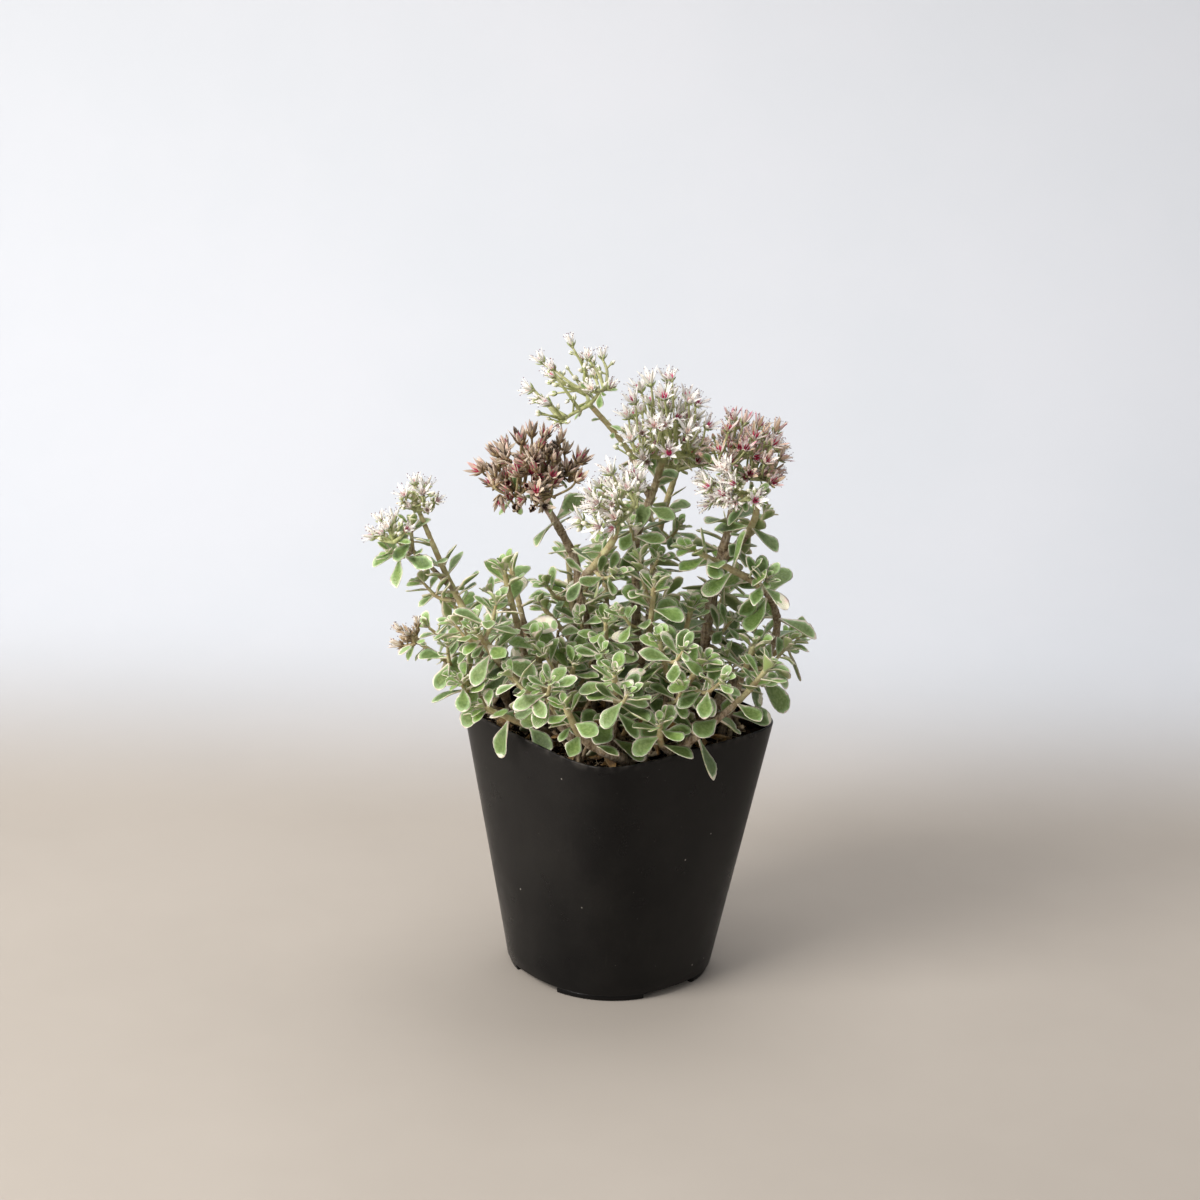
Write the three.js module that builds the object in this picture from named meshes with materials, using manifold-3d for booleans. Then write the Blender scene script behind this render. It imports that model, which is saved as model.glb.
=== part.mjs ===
// A potted tricolor sedum: a square-topped black nursery pot filled with potting soil, with woody stems
// that branch into leafy shoots of fleshy cream-edged leaves and into flat heads of small star flowers.
// Millimetres, +Z up, the pot standing on Z = 0 and one of its corners pointing to -Y, the front.
import * as THREE from "three";
import { mergeVertices } from "three/addons/utils/BufferGeometryUtils.js";
import Module from "manifold-3d";

const wasm = await Module();
wasm.setup();

// Driving dimensions of the pot
const POT_TOP = 100; // outside width across the flats at the rim
const POT_BASE = 79.5; // outside width across the flats at the base
const POT_HEIGHT = 108.5;
const POT_TURN = THREE.MathUtils.degToRad(40); // how far the pot is turned about Z
const TOP_SQUARENESS = 5.7; // exponent of the rim's rounded square, where 2 is a circle
const BASE_SQUARENESS = 2.25;
const WALL = 1.2;
const FLOOR_THICK = 1.6;
const FOOT_HEIGHT = 2.6; // the walls stop this far above the table between the corner feet
const FOOT_HALF_ANGLE = THREE.MathUtils.degToRad(26);
const FOOT_INSET = 0.7;
const FOOT_THICK = 2.2;
const DRAIN_RADIUS = 5;
const DRAIN_RING = 20; // from the pot's axis to each drain hole
const POT_SIDES = 32;
const CORNER_CROWDING = 0.12;

// Driving dimensions of the soil
const SOIL_TOP = 102;
const SOIL_GAP = 0.3; // between soil and pot, and round each stem
const SOIL_RELIEF = 0.9;
const HOLE_SIDES = 5;
const ROOT_DEPTH = 8; // how deep each stem stands in its hole

// Driving dimensions of the plant
const STEM_SIDES = 4;
const ARM_SIDES = 3;
const STEM_STEP = 15; // length of one straight stretch of a stem
const FINE_STEPS = 240; // steps of the smooth curve that a stem's stretches are picked from
const KEEL = 0.8; // the keel's depth under the blade's middle sheet
const KEEL_AT = 0.46; // where along the blade it is deepest
const LEAF_RATIO = 0.5; // width over length
// The blade's edge as shares of its length, each with a factor on its half width there
const PLAIN_EDGE = [[0.36, 0.75], [0.68, 1], [0.9, 1]];
const SCALLOPED_EDGE = [[0.36, 0.75], [0.66, 1.04], [0.78, 0.86], [0.87, 1.08], [0.94, 0.72]];
const SMALL_EDGE = [[0.5, 1], [0.88, 1]];
const SCALLOPED_FROM = 16.5; // lengths that choose between them
const SMALL_UNDER = 11;
const LOW_LIFT = -14; // degrees up from square to the stem, for the lowest and the topmost pair
const HIGH_LIFT = 52;
const CROWDING = 1.6; // how much closer the pairs stand towards a shoot's tip
const LEAF_ROOM = 1.25; // kept clear round each mark of a leaf
const SAME_SHARE = 0.8; // of that room between leaves of one stem
const BLOOM_SHARE = 0.5; // and between the flowers of one head
const LEAF_SET_BACK = 0.2; // how far behind the stem's middle a leaf starts, over the stem's radius
const HEAD_GAP = 0.3; // between the end of a stem and its flower head
const HUB = 1.8; // radius where a head's arms spring from
const PETALS = 5;
const NOTCH_SHARE = 0.3; // how far out along the petals two of them part
const MIDDLE_UP = 1.3; // the raised middle of a flower
const GOLDEN_ANGLE = Math.PI * (3 - Math.sqrt(5));
const DOME_ANGLE = THREE.MathUtils.degToRad(76); // how far down its dome a head carries flowers

// Each shoot is a path of points from its root in the soil, or from a share of the main shoot's length.
// radii are at the two ends, and leaves give the pairs, where they start, and the largest leaf's length.
const STEMS = [
  {
    name: "stem_tall_centre",
    root: [8, 8],
    shoots: [
      {
        path: [[6, 6, 150], [5, 8, 178], [11, 5, 200], [14, 3, 212]],
        radii: [2.3, 1.4], pairs: 7, from: 0.36, to: 0.93, size: 19,
      },
      {
        at: 0.86,
        path: [[2, 2, 214], [-6, 0, 225], [-14, -5, 235]],
        radii: [1.2, 1], pairs: 2, from: 0.4, to: 0.85, size: 10,
      },
    ],
  },
  {
    name: "stem_tall_left",
    root: [-10, 0],
    shoots: [
      {
        path: [[-12, 0, 138], [-17, -1, 157], [-19, -1, 172], [-27, -4, 188], [-35, -6, 201]],
        radii: [2.1, 1.4], pairs: 3, from: 0.74, to: 0.93, size: 19,
      },
      {
        at: 0.6,
        path: [[-13, -20, 174], [-5, -31, 188], [-3, -35, 199]],
        radii: [1.7, 1.2], pairs: 2, from: 0.5, to: 0.85, size: 13.5,
      },
    ],
  },
  {
    name: "stem_tall_right",
    root: [30, 4],
    shoots: [
      {
        path: [[34, 5, 138], [36, 5, 155], [39, 8, 173], [43, 7, 194], [43, 3, 207]],
        radii: [2.3, 1.5], pairs: 6, from: 0.42, to: 0.94, size: 19,
      },
      {
        at: 0.66,
        path: [[49, 0, 186], [51, -6, 198], [44, -14, 205]],
        radii: [1.6, 1.1], pairs: 2, from: 0.5, to: 0.85, size: 16,
      },
    ],
  },
  {
    name: "stem_arching_right",
    root: [44, 12],
    shoots: [
      {
        path: [
          [51, 10, 116], [59, 5, 132], [62, 0, 146], [60, -6, 157],
          [54, -12, 167], [41, -18, 176], [28, -24, 184],
        ],
        radii: [2, 1.1], pairs: 9, from: 0.3, to: 0.98, size: 19,
      },
    ],
  },
  {
    name: "stem_left_truss",
    root: [-14, -34],
    shoots: [
      {
        path: [
          [-28, -36, 122], [-42, -36, 135], [-52, -31, 146],
          [-63, -26, 161], [-73, -22, 181], [-79, -20, 194],
        ],
        radii: [2.1, 0.9], pairs: 7, from: 0.34, to: 0.82, size: 18,
      },
      {
        at: 0.42,
        path: [[-48, -44, 145], [-54, -50, 156]],
        radii: [1.4, 1], pairs: 5, from: 0.4, to: 0.98, size: 15.5,
      },
      {
        at: 0.74,
        path: [[-78, -25, 178], [-86, -26, 184]],
        radii: [1, 0.8], pairs: 1, from: 0.5, to: 0.5, size: 10,
      },
    ],
  },
  {
    name: "stem_left_low",
    root: [-44, -12],
    shoots: [
      {
        path: [[-53, -18, 117], [-61, -26, 129]],
        radii: [1.8, 1.2], pairs: 4, from: 0.45, to: 0.98, size: 16.5,
      },
      {
        at: 0.55,
        path: [[-63, -18, 129], [-72, -17, 136], [-78, -17, 140]],
        radii: [1, 0.8], pairs: 1, from: 0.7, to: 0.7, size: 10,
      },
    ],
  },
  {
    name: "stem_back_flower",
    root: [12, 26],
    shoots: [
      {
        path: [[12, 29, 150], [15, 31, 178], [20, 28, 200]],
        radii: [2, 1.2], pairs: 5, from: 0.38, to: 0.9, size: 17,
      },
    ],
  },
  {
    name: "shoot_front_centre",
    root: [-3, -38],
    shoots: [
      {
        path: [[-2, -43, 116], [-1, -49, 130], [-2, -58, 144]],
        radii: [1.8, 1], pairs: 6, from: 0.36, to: 0.98, size: 17.5,
      },
    ],
  },
  {
    name: "shoot_old_wood",
    root: [4, -45],
    shoots: [
      {
        path: [[-2, -51, 109], [-9, -53, 114], [-16, -55, 120], [-20, -60, 131]],
        radii: [2.7, 1.2], pairs: 5, from: 0.56, to: 0.98, size: 14.5,
      },
      {
        at: 0.72,
        path: [[-25, -50, 127], [-29, -54, 137]],
        radii: [1.2, 0.9], pairs: 4, from: 0.45, to: 0.98, size: 13.5,
      },
    ],
  },
  {
    name: "shoot_front_right",
    root: [14, -29],
    shoots: [
      {
        path: [[18, -36, 121], [25, -39, 133], [31, -46, 146]],
        radii: [1.8, 1], pairs: 6, from: 0.36, to: 0.98, size: 16.5,
      },
      {
        at: 0.5,
        path: [[18, -37, 138], [15, -40, 152]],
        radii: [1.3, 0.9], pairs: 4, from: 0.4, to: 0.98, size: 14.5,
      },
    ],
  },
  {
    name: "shoot_right_rim",
    root: [21, -39],
    shoots: [
      {
        path: [[34, -42, 118], [47, -40, 130], [56, -40, 142]],
        radii: [1.9, 1], pairs: 6, from: 0.4, to: 0.98, size: 17,
      },
      {
        at: 0.2,
        path: [[17, -47, 113], [16, -56, 124]],
        radii: [1.5, 1], pairs: 4, from: 0.45, to: 0.98, size: 15.5,
      },
    ],
  },
  {
    name: "shoot_left_upright",
    root: [-29, -10],
    shoots: [
      {
        path: [[-36, -15, 128], [-39, -19, 145], [-43, -21, 160], [-46, -23, 173]],
        radii: [1.9, 1], pairs: 6, from: 0.34, to: 0.98, size: 17.5,
      },
    ],
  },
  {
    name: "shoot_middle",
    root: [6, -15],
    shoots: [
      {
        path: [[8, -19, 133], [11, -23, 150], [12, -29, 170]],
        radii: [1.9, 1], pairs: 7, from: 0.4, to: 0.98, size: 17.5,
      },
      {
        at: 0.24,
        path: [[-1, -17, 125], [-5, -22, 139], [-6, -31, 156]],
        radii: [1.4, 0.9], pairs: 5, from: 0.42, to: 0.98, size: 14.5,
      },
    ],
  },
  {
    name: "shoot_bare_wood",
    root: [-2, 10],
    shoots: [
      {
        path: [[-7, 10, 118], [-17, 11, 131], [-31, 12, 147]],
        radii: [1.6, 1], pairs: 3, from: 0.7, to: 0.98, size: 13.5,
      },
    ],
  },
  {
    name: "shoot_right_back_low",
    root: [40, 20],
    shoots: [
      {
        path: [[46, 22, 114], [57, 25, 121], [68, 26, 131]],
        radii: [1.7, 1], pairs: 5, from: 0.4, to: 0.98, size: 17,
      },
    ],
  },
  {
    name: "shoot_right_side",
    root: [42, -8],
    shoots: [
      {
        path: [[47, -13, 124], [52, -20, 145]],
        radii: [1.7, 1], pairs: 5, from: 0.36, to: 0.98, size: 18,
      },
    ],
  },
  {
    name: "shoot_middle_right",
    root: [20, -6],
    shoots: [
      {
        path: [[23, -9, 130], [27, -15, 157]],
        radii: [1.7, 1], pairs: 6, from: 0.4, to: 0.98, size: 17,
      },
    ],
  },
  {
    name: "shoot_left_front",
    root: [-24, -22],
    shoots: [
      {
        path: [[-28, -27, 124], [-33, -35, 148]],
        radii: [1.8, 1], pairs: 6, from: 0.38, to: 0.98, size: 17.5,
      },
      {
        at: 0.28,
        path: [[-20, -30, 124], [-18, -38, 140]],
        radii: [1.4, 1], pairs: 4, from: 0.4, to: 0.98, size: 16,
      },
      {
        at: 0.2,
        path: [[-38, -29, 113], [-51, -36, 121]],
        radii: [1.5, 1], pairs: 4, from: 0.4, to: 0.98, size: 17.5,
      },
    ],
  },
  {
    name: "shoot_left_side",
    root: [-42, 2],
    shoots: [
      {
        path: [[-50, -3, 124], [-59, -8, 140], [-65, -12, 154]],
        radii: [1.8, 1], pairs: 5, from: 0.4, to: 0.98, size: 17.5,
      },
    ],
  },
  {
    name: "shoot_centre_back",
    root: [-17, 16],
    shoots: [
      {
        path: [[-19, 18, 140], [-22, 20, 166]],
        radii: [1.7, 1], pairs: 5, from: 0.38, to: 0.98, size: 17,
      },
    ],
  },
  {
    name: "shoot_back_left",
    root: [-30, 24],
    shoots: [
      {
        path: [[-38, 29, 130], [-45, 35, 155]],
        radii: [1.8, 1], pairs: 5, from: 0.34, to: 0.98, size: 17,
      },
      {
        at: 0.26,
        path: [[-47, 28, 120], [-63, 31, 132]],
        radii: [1.4, 1], pairs: 4, from: 0.4, to: 0.98, size: 16.5,
      },
    ],
  },
  {
    name: "shoot_back_centre",
    root: [-3, 36],
    shoots: [
      {
        path: [[-5, 42, 130], [-8, 50, 156]],
        radii: [1.8, 1], pairs: 5, from: 0.34, to: 0.98, size: 17,
      },
      {
        at: 0.24,
        path: [[-12, 50, 119], [-21, 60, 131]],
        radii: [1.4, 1], pairs: 4, from: 0.4, to: 0.98, size: 16.5,
      },
    ],
  },
  {
    name: "shoot_back_right",
    root: [29, 27],
    shoots: [
      {
        path: [[35, 35, 132], [40, 44, 158]],
        radii: [1.8, 1], pairs: 5, from: 0.34, to: 0.98, size: 17,
      },
      {
        at: 0.3,
        path: [[28, 46, 122], [33, 59, 134]],
        radii: [1.4, 1], pairs: 4, from: 0.45, to: 0.98, size: 16.5,
      },
    ],
  },
];

// Each head stands on the end of a shoot: the way it leans from straight up, its reach across and up, its
// arms and flowers, how far the petals open from the flower's axis in degrees, and their length.
const HEADS = [
  {
    name: "head_tall_centre", stem: "stem_tall_centre", shoot: 0, colour: "petal_white",
    facing: [-0.1, -0.25], reach: 18, rise: 29, arms: 3, flowers: 17, open: 54, petal: 7,
  },
  {
    name: "head_green_truss", stem: "stem_tall_centre", shoot: 1, colour: "petal_white",
    facing: [-0.85, -0.1], reach: 18, rise: 22, arms: 3, flowers: 11, open: 38, petal: 5.6,
  },
  {
    name: "head_faded", stem: "stem_tall_left", shoot: 0, colour: "petal_faded",
    facing: [-0.1, -0.3], reach: 20, rise: 17, arms: 5, flowers: 22, open: 26, petal: 6.4,
  },
  {
    name: "head_front", stem: "stem_tall_left", shoot: 1, colour: "petal_white",
    facing: [-0.85, -0.3], reach: 16, rise: 13, arms: 3, flowers: 10, open: 62, petal: 7.2,
  },
  {
    name: "head_pink_right", stem: "stem_tall_right", shoot: 0, colour: "petal_pink",
    facing: [0.25, -0.2], reach: 18, rise: 21, arms: 3, flowers: 18, open: 38, petal: 6.6,
  },
  {
    name: "head_white_right", stem: "stem_tall_right", shoot: 1, colour: "petal_white",
    facing: [-0.35, -0.6], reach: 13, rise: 11, arms: 3, flowers: 10, open: 58, petal: 7.2,
  },
  {
    name: "head_left_top", stem: "stem_left_truss", shoot: 0, colour: "petal_white",
    facing: [0.1, -0.1], reach: 8, rise: 10, arms: 3, flowers: 7, open: 45, petal: 5.6,
  },
  {
    name: "head_left_side", stem: "stem_left_truss", shoot: 2, colour: "petal_white",
    facing: [-0.5, -0.1], reach: 7, rise: 9, arms: 2, flowers: 5, open: 45, petal: 5.6,
  },
  {
    name: "head_left_low", stem: "stem_left_low", shoot: 1, colour: "petal_faded",
    facing: [-0.9, -0.1], reach: 6, rise: 7, arms: 2, flowers: 4, open: 35, petal: 5.4,
  },
  {
    name: "head_back", stem: "stem_back_flower", shoot: 0, colour: "petal_pink",
    facing: [0, 0.35], reach: 15, rise: 14, arms: 3, flowers: 12, open: 50, petal: 6.8,
  },
];

// A seeded random draw from 0 to 1, alike on every machine.
function drawer(seed) {
  let state = seed;
  return () => {
    state = (state * 1664525 + 1013904223) % 4294967296;
    return state / 4294967296;
  };
}

const turn = (degrees) => THREE.MathUtils.degToRad(degrees);
const vector = (p) => new THREE.Vector3(...p);
const UP = new THREE.Vector3(0, 0, 1);

// The direction at an angle from one direction towards another that is square to it.
const roundBy = (angle, from, towards) =>
  from.clone().multiplyScalar(Math.cos(angle)).addScaledVector(towards, Math.sin(angle));

// A closed mesh of loose points and triangles, as a solid that can be joined and cut.
function solidOf(points, faces) {
  const positions = new Float32Array(points.flatMap((p) => [p.x, p.y, p.z]));
  const corners = new Uint32Array(faces.flat());
  return new wasm.Manifold(new wasm.Mesh({ numProp: 3, vertProperties: positions, triVerts: corners }));
}

// A three.js geometry as a solid.
function solidFrom(geometry) {
  const bare = geometry.clone();
  bare.deleteAttribute("normal");
  bare.deleteAttribute("uv");
  const merged = mergeVertices(bare, 1e-4);
  const positions = merged.attributes.position.array;
  const corners = new Uint32Array(merged.index.array);
  return new wasm.Manifold(new wasm.Mesh({ numProp: 3, vertProperties: positions, triVerts: corners }));
}

// A solid as a three.js geometry with flat faces.
function geometryOf(solid) {
  const mesh = solid.getMesh();
  const geometry = new THREE.BufferGeometry();
  const positions = new Float32Array(mesh.numVert * 3);
  for (let i = 0; i < mesh.numVert; i++) {
    positions.set(mesh.vertProperties.subarray(i * mesh.numProp, i * mesh.numProp + 3), i * 3);
  }
  geometry.setAttribute("position", new THREE.BufferAttribute(positions, 3));
  geometry.setIndex(new THREE.BufferAttribute(new Uint32Array(mesh.triVerts), 1));
  geometry.computeVertexNormals();
  return geometry;
}

const joined = (solids) => solids.reduce((whole, solid) => whole.add(solid));

// The pot's outline at a height, drawn in by an inset: straight lines run up the wall from the nearly round
// base to the nearly square rim. reach is how far a corner ray of unit length goes.
function reach(angle, squareness) {
  const along = Math.abs(Math.cos(angle)) ** squareness + Math.abs(Math.sin(angle)) ** squareness;
  return along ** (-1 / squareness);
}

function potRadius(angle, z) {
  const share = z / POT_HEIGHT;
  const top = (POT_TOP / 2) * reach(angle, TOP_SQUARENESS);
  const base = (POT_BASE / 2) * reach(angle, BASE_SQUARENESS);
  return base + (top - base) * share;
}

// A point at a radius from the pot's axis, at an angle counted from the pot's own turn.
function roundPot(radius, angle, z) {
  return new THREE.Vector3(radius * Math.cos(angle + POT_TURN), radius * Math.sin(angle + POT_TURN), z);
}

// One level ring of the pot's points, closer together round its corners than along its flats.
function potRing(z, inset) {
  const ring = [];
  for (let i = 0; i < POT_SIDES; i++) {
    const even = (i / POT_SIDES) * 2 * Math.PI;
    const angle = even + CORNER_CROWDING * Math.sin(4 * even);
    const radius = potRadius(angle, z) - inset;
    ring.push(roundPot(radius, angle, z));
  }
  return ring;
}

// A solid between rings of the same number of points, closed by a fan at each end. tip raises the last
// fan's middle into a point.
function lofted(rings, tip = new THREE.Vector3()) {
  const sides = rings[0].length;
  const points = rings.flat();
  const faces = [];
  for (let k = 0; k + 1 < rings.length; k++) {
    for (let i = 0; i < sides; i++) {
      const [a, b] = [k * sides + i, k * sides + ((i + 1) % sides)];
      faces.push([a, b, b + sides], [a, b + sides, a + sides]);
    }
  }
  const middle = (ring) => ring.reduce((sum, p) => sum.add(p), new THREE.Vector3()).divideScalar(sides);
  const [low, high] = [points.length, points.length + 1];
  points.push(middle(rings[0]), middle(rings.at(-1)).add(tip));
  const last = (rings.length - 1) * sides;
  for (let i = 0; i < sides; i++) {
    const next = (i + 1) % sides;
    faces.push([low, next, i], [high, last + i, last + next]);
  }
  return solidOf(points, faces);
}

// A foot: a short curved block under one corner of the wall.
function footSolid(middle) {
  const outline = [];
  for (const [depth, order] of [[0, 1], [FOOT_THICK, -1]]) {
    for (const step of [-1, -0.4, 0.4, 1]) {
      const angle = middle + FOOT_HALF_ANGLE * step * order;
      const radius = potRadius(angle, 0) - FOOT_INSET - depth;
      const corner = roundPot(radius, angle, 0);
      outline.push(new THREE.Vector2(corner.x, corner.y));
    }
  }
  const height = FOOT_HEIGHT + FLOOR_THICK / 2;
  const block = new THREE.ExtrudeGeometry(new THREE.Shape(outline), { depth: height, bevelEnabled: false });
  return solidFrom(block);
}

function drainHole(angle) {
  const hole = new THREE.CylinderGeometry(DRAIN_RADIUS, DRAIN_RADIUS, 4 * FLOOR_THICK, 8);
  hole.rotateX(Math.PI / 2);
  return solidFrom(hole.translate(DRAIN_RING * Math.cos(angle), DRAIN_RING * Math.sin(angle), FOOT_HEIGHT));
}

function makePot() {
  const floorTop = FOOT_HEIGHT + FLOOR_THICK;
  const body = lofted([potRing(FOOT_HEIGHT, 0), potRing(POT_HEIGHT, 0)]);
  const hollow = lofted([potRing(floorTop, WALL), potRing(POT_HEIGHT + 1, WALL)]);
  const feet = joined([0, 1, 2, 3].map((k) => footSolid(Math.PI / 4 + (k * Math.PI) / 2)));
  const drains = joined([0, 1, 2, 3].map((k) => drainHole(POT_TURN + (k * Math.PI) / 2)));
  return body.add(feet).subtract(hollow).subtract(drains);
}

// The soil's surface: low humps, a little higher in the middle.
function soilHeight(x, y) {
  const humps = Math.sin(x * 0.21 + 1.3) * Math.cos(y * 0.17 - 0.4) + 0.5 * Math.sin(x * 0.09 - y * 0.13);
  return SOIL_TOP + SOIL_RELIEF * humps;
}

function makeSoil(holes) {
  const inset = WALL + SOIL_GAP;
  const low = FOOT_HEIGHT + FLOOR_THICK + SOIL_GAP;
  const rings = [potRing(low, inset), potRing(SOIL_TOP, inset)];
  for (const share of [0.6]) {
    rings.push(potRing(SOIL_TOP, inset).map((p) => p.clone().multiply(new THREE.Vector3(share, share, 1))));
  }
  for (const ring of rings.slice(1)) ring.forEach((p) => p.setZ(soilHeight(p.x, p.y)));
  return lofted(rings).subtract(joined(holes));
}

// The line of a shoot: short straight stretches of about one length along a smooth curve through its
// points, with the length run so far at each. A main shoot also has a straight foot below its curve.
function spineOf(points, foot = []) {
  const curve = new THREE.CatmullRomCurve3(points, false, "catmullrom", 0.5);
  const fine = curve.getPoints(FINE_STEPS);
  const steps = Math.max(2, Math.round(curve.getLength() / STEM_STEP));
  const line = [...foot];
  for (let k = 0; k <= steps; k++) line.push(fine[Math.round((k / steps) * FINE_STEPS)]);
  const run = [0];
  for (let i = 1; i < line.length; i++) run.push(run[i - 1] + line[i].distanceTo(line[i - 1]));
  return { line, run, length: run.at(-1) };
}

// The place and direction at a share of a spine's length.
function alongSpine(spine, share) {
  const want = Math.min(Math.max(share, 0), 1) * spine.length;
  let i = 1;
  while (i < spine.line.length - 1 && spine.run[i] < want) i++;
  const part = (want - spine.run[i - 1]) / (spine.run[i] - spine.run[i - 1]);
  const [from, to] = [spine.line[i - 1], spine.line[i]];
  return { place: from.clone().lerp(to, part), along: to.clone().sub(from).normalize() };
}

// Two directions square to a given one.
function squareTo(along) {
  const other = Math.abs(along.x) < 0.8 ? new THREE.Vector3(1, 0, 0) : new THREE.Vector3(0, 1, 0);
  const across = new THREE.Vector3().crossVectors(along, other).normalize();
  return [across, new THREE.Vector3().crossVectors(along, across)];
}

// A tapering stem round a spine, with a point of the given length at its end.
function tube(spine, radii, sides, point = 0) {
  const rings = [];
  let [across] = squareTo(alongSpine(spine, 0).along);
  spine.line.forEach((place, k) => {
    const before = spine.line[Math.max(k - 1, 0)];
    const after = spine.line[Math.min(k + 1, spine.line.length - 1)];
    const along = after.clone().sub(before).normalize();
    across = across.addScaledVector(along, -across.dot(along)).normalize();
    const other = new THREE.Vector3().crossVectors(along, across);
    const radius = radii[0] + ((radii[1] - radii[0]) * spine.run[k]) / spine.length;
    const ring = [];
    for (let i = 0; i < sides; i++) {
      const angle = (i / sides) * 2 * Math.PI;
      const outward = roundBy(angle, across, other);
      ring.push(place.clone().addScaledVector(outward, radius));
    }
    rings.push(ring);
  });
  return lofted(rings, alongSpine(spine, 1).along.multiplyScalar(point));
}

// Half the leaf's width at a share of its length: narrow at the root, widest near its round end.
function leafHalfWidth(leaf, share) {
  return ((leaf.width / 2) * share ** 1.15 * Math.sqrt(Math.max(0, 1 - share ** 4.5))) / 0.62;
}

// A point of the leaf: share runs from root to end, side from -1 to 1 across, lift is off the middle sheet.
function leafPoint(leaf, share, side, lift = 0) {
  const half = leafHalfWidth(leaf, share);
  const rise = leaf.length * leaf.curl * share * share + leaf.cup * half * side * side + lift;
  return leaf.root
    .clone()
    .addScaledVector(leaf.out, share * leaf.length)
    .addScaledVector(leaf.across, side * half)
    .addScaledVector(leaf.face, rise);
}

// A fleshy blade with a sharp edge, keeled below. Its root is a point past the stem's middle, so that it
// stands well inside the stem.
function leafSolid(leaf) {
  let edge = PLAIN_EDGE;
  if (leaf.length >= SCALLOPED_FROM) edge = SCALLOPED_EDGE;
  if (leaf.length < SMALL_UNDER) edge = SMALL_EDGE;
  const left = edge.map(([share, side]) => leafPoint(leaf, share, side));
  const right = edge.map(([share, side]) => leafPoint(leaf, share, -side)).reverse();
  const points = [...left, leafPoint(leaf, 1, 0), ...right, leafPoint(leaf, 0, 0)];
  points.push(leafPoint(leaf, KEEL_AT, 0, -KEEL));
  const tip = edge.length;
  const root = 2 * tip + 1;
  const keel = root + 1;
  const faces = [[root, root - 1, 0], [tip - 1, tip + 1, tip], [keel, root, 0], [keel, root - 1, root]];
  for (let i = 0; i < root - 1; i++) faces.push([keel, i, i + 1]);
  for (let i = 0; i < tip - 1; i++) {
    const across = root - 1 - i;
    faces.push([i, across, i + 1], [i + 1, across, across - 1]);
  }
  return solidOf(points, faces);
}

// Marks that stand for a piece when others are kept clear of it.
const marks = [];

function leafMarks(leaf, owner) {
  const found = [];
  for (const share of [0.25, 0.44, 0.63, 0.81, 0.97]) {
    for (const side of share > 0.9 ? [-0.3, 0.3] : [-0.72, 0, 0.72]) {
      found.push({ place: leafPoint(leaf, share, side), room: LEAF_ROOM, owner });
    }
  }
  return found;
}

function spineMarks(spine, radii, owner) {
  const found = [];
  const count = Math.ceil(spine.length / 2);
  for (let k = 0; k <= count; k++) {
    const share = k / count;
    const room = radii[0] + (radii[1] - radii[0]) * share + 0.5;
    found.push({ place: alongSpine(spine, share).place, room, owner, stem: true });
  }
  return found;
}

// Whether a mark is in the soil, in the pot's wall or below its rim outside.
function inPot(place) {
  const angle = Math.atan2(place.y, place.x) - POT_TURN;
  const radius = Math.hypot(place.x, place.y);
  const wall = potRadius(angle, Math.min(place.z, POT_HEIGHT));
  if (radius < wall - 4) return place.z < SOIL_TOP + SOIL_RELIEF + 1.5;
  return radius < wall + 2.5 && place.z < POT_HEIGHT + 1.8;
}

function isClear(wanted, share) {
  for (const mark of wanted) {
    if (inPot(mark.place)) return false;
    for (const other of marks) {
      const same = other.owner === mark.owner;
      if (same && other.stem) continue;
      const room = other.room + mark.room;
      const need = same ? share * room : room;
      const gap = mark.place.distanceToSquared(other.place);
      if (gap < need * need) return false;
    }
  }
  return true;
}

// The turns round the stem and up from it, in degrees, that a leaf tries until it is clear of the rest.
const TRIES = [
  [0, 0], [14, 0], [-14, 0], [0, 14], [0, -14], [24, 16], [-24, 16],
  [24, -16], [-24, -16], [38, 0], [-38, 0], [0, 30], [0, -30],
];

function aimedLeaf(seat, azimuth, lift, length, look) {
  const [across, other] = squareTo(seat.along);
  const outward = roundBy(azimuth, across, other);
  const out = roundBy(lift, outward, seat.along).normalize();
  const face = seat.along.clone().multiplyScalar(0.6).addScaledVector(UP, 0.55);
  face.addScaledVector(out, -face.dot(out)).normalize();
  face.applyAxisAngle(out, look.roll);
  return {
    root: seat.place.clone().addScaledVector(out, -look.back),
    out,
    face,
    across: new THREE.Vector3().crossVectors(face, out),
    length,
    width: length * LEAF_RATIO * look.broad,
    curl: look.curl,
    cup: look.cup,
  };
}

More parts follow.
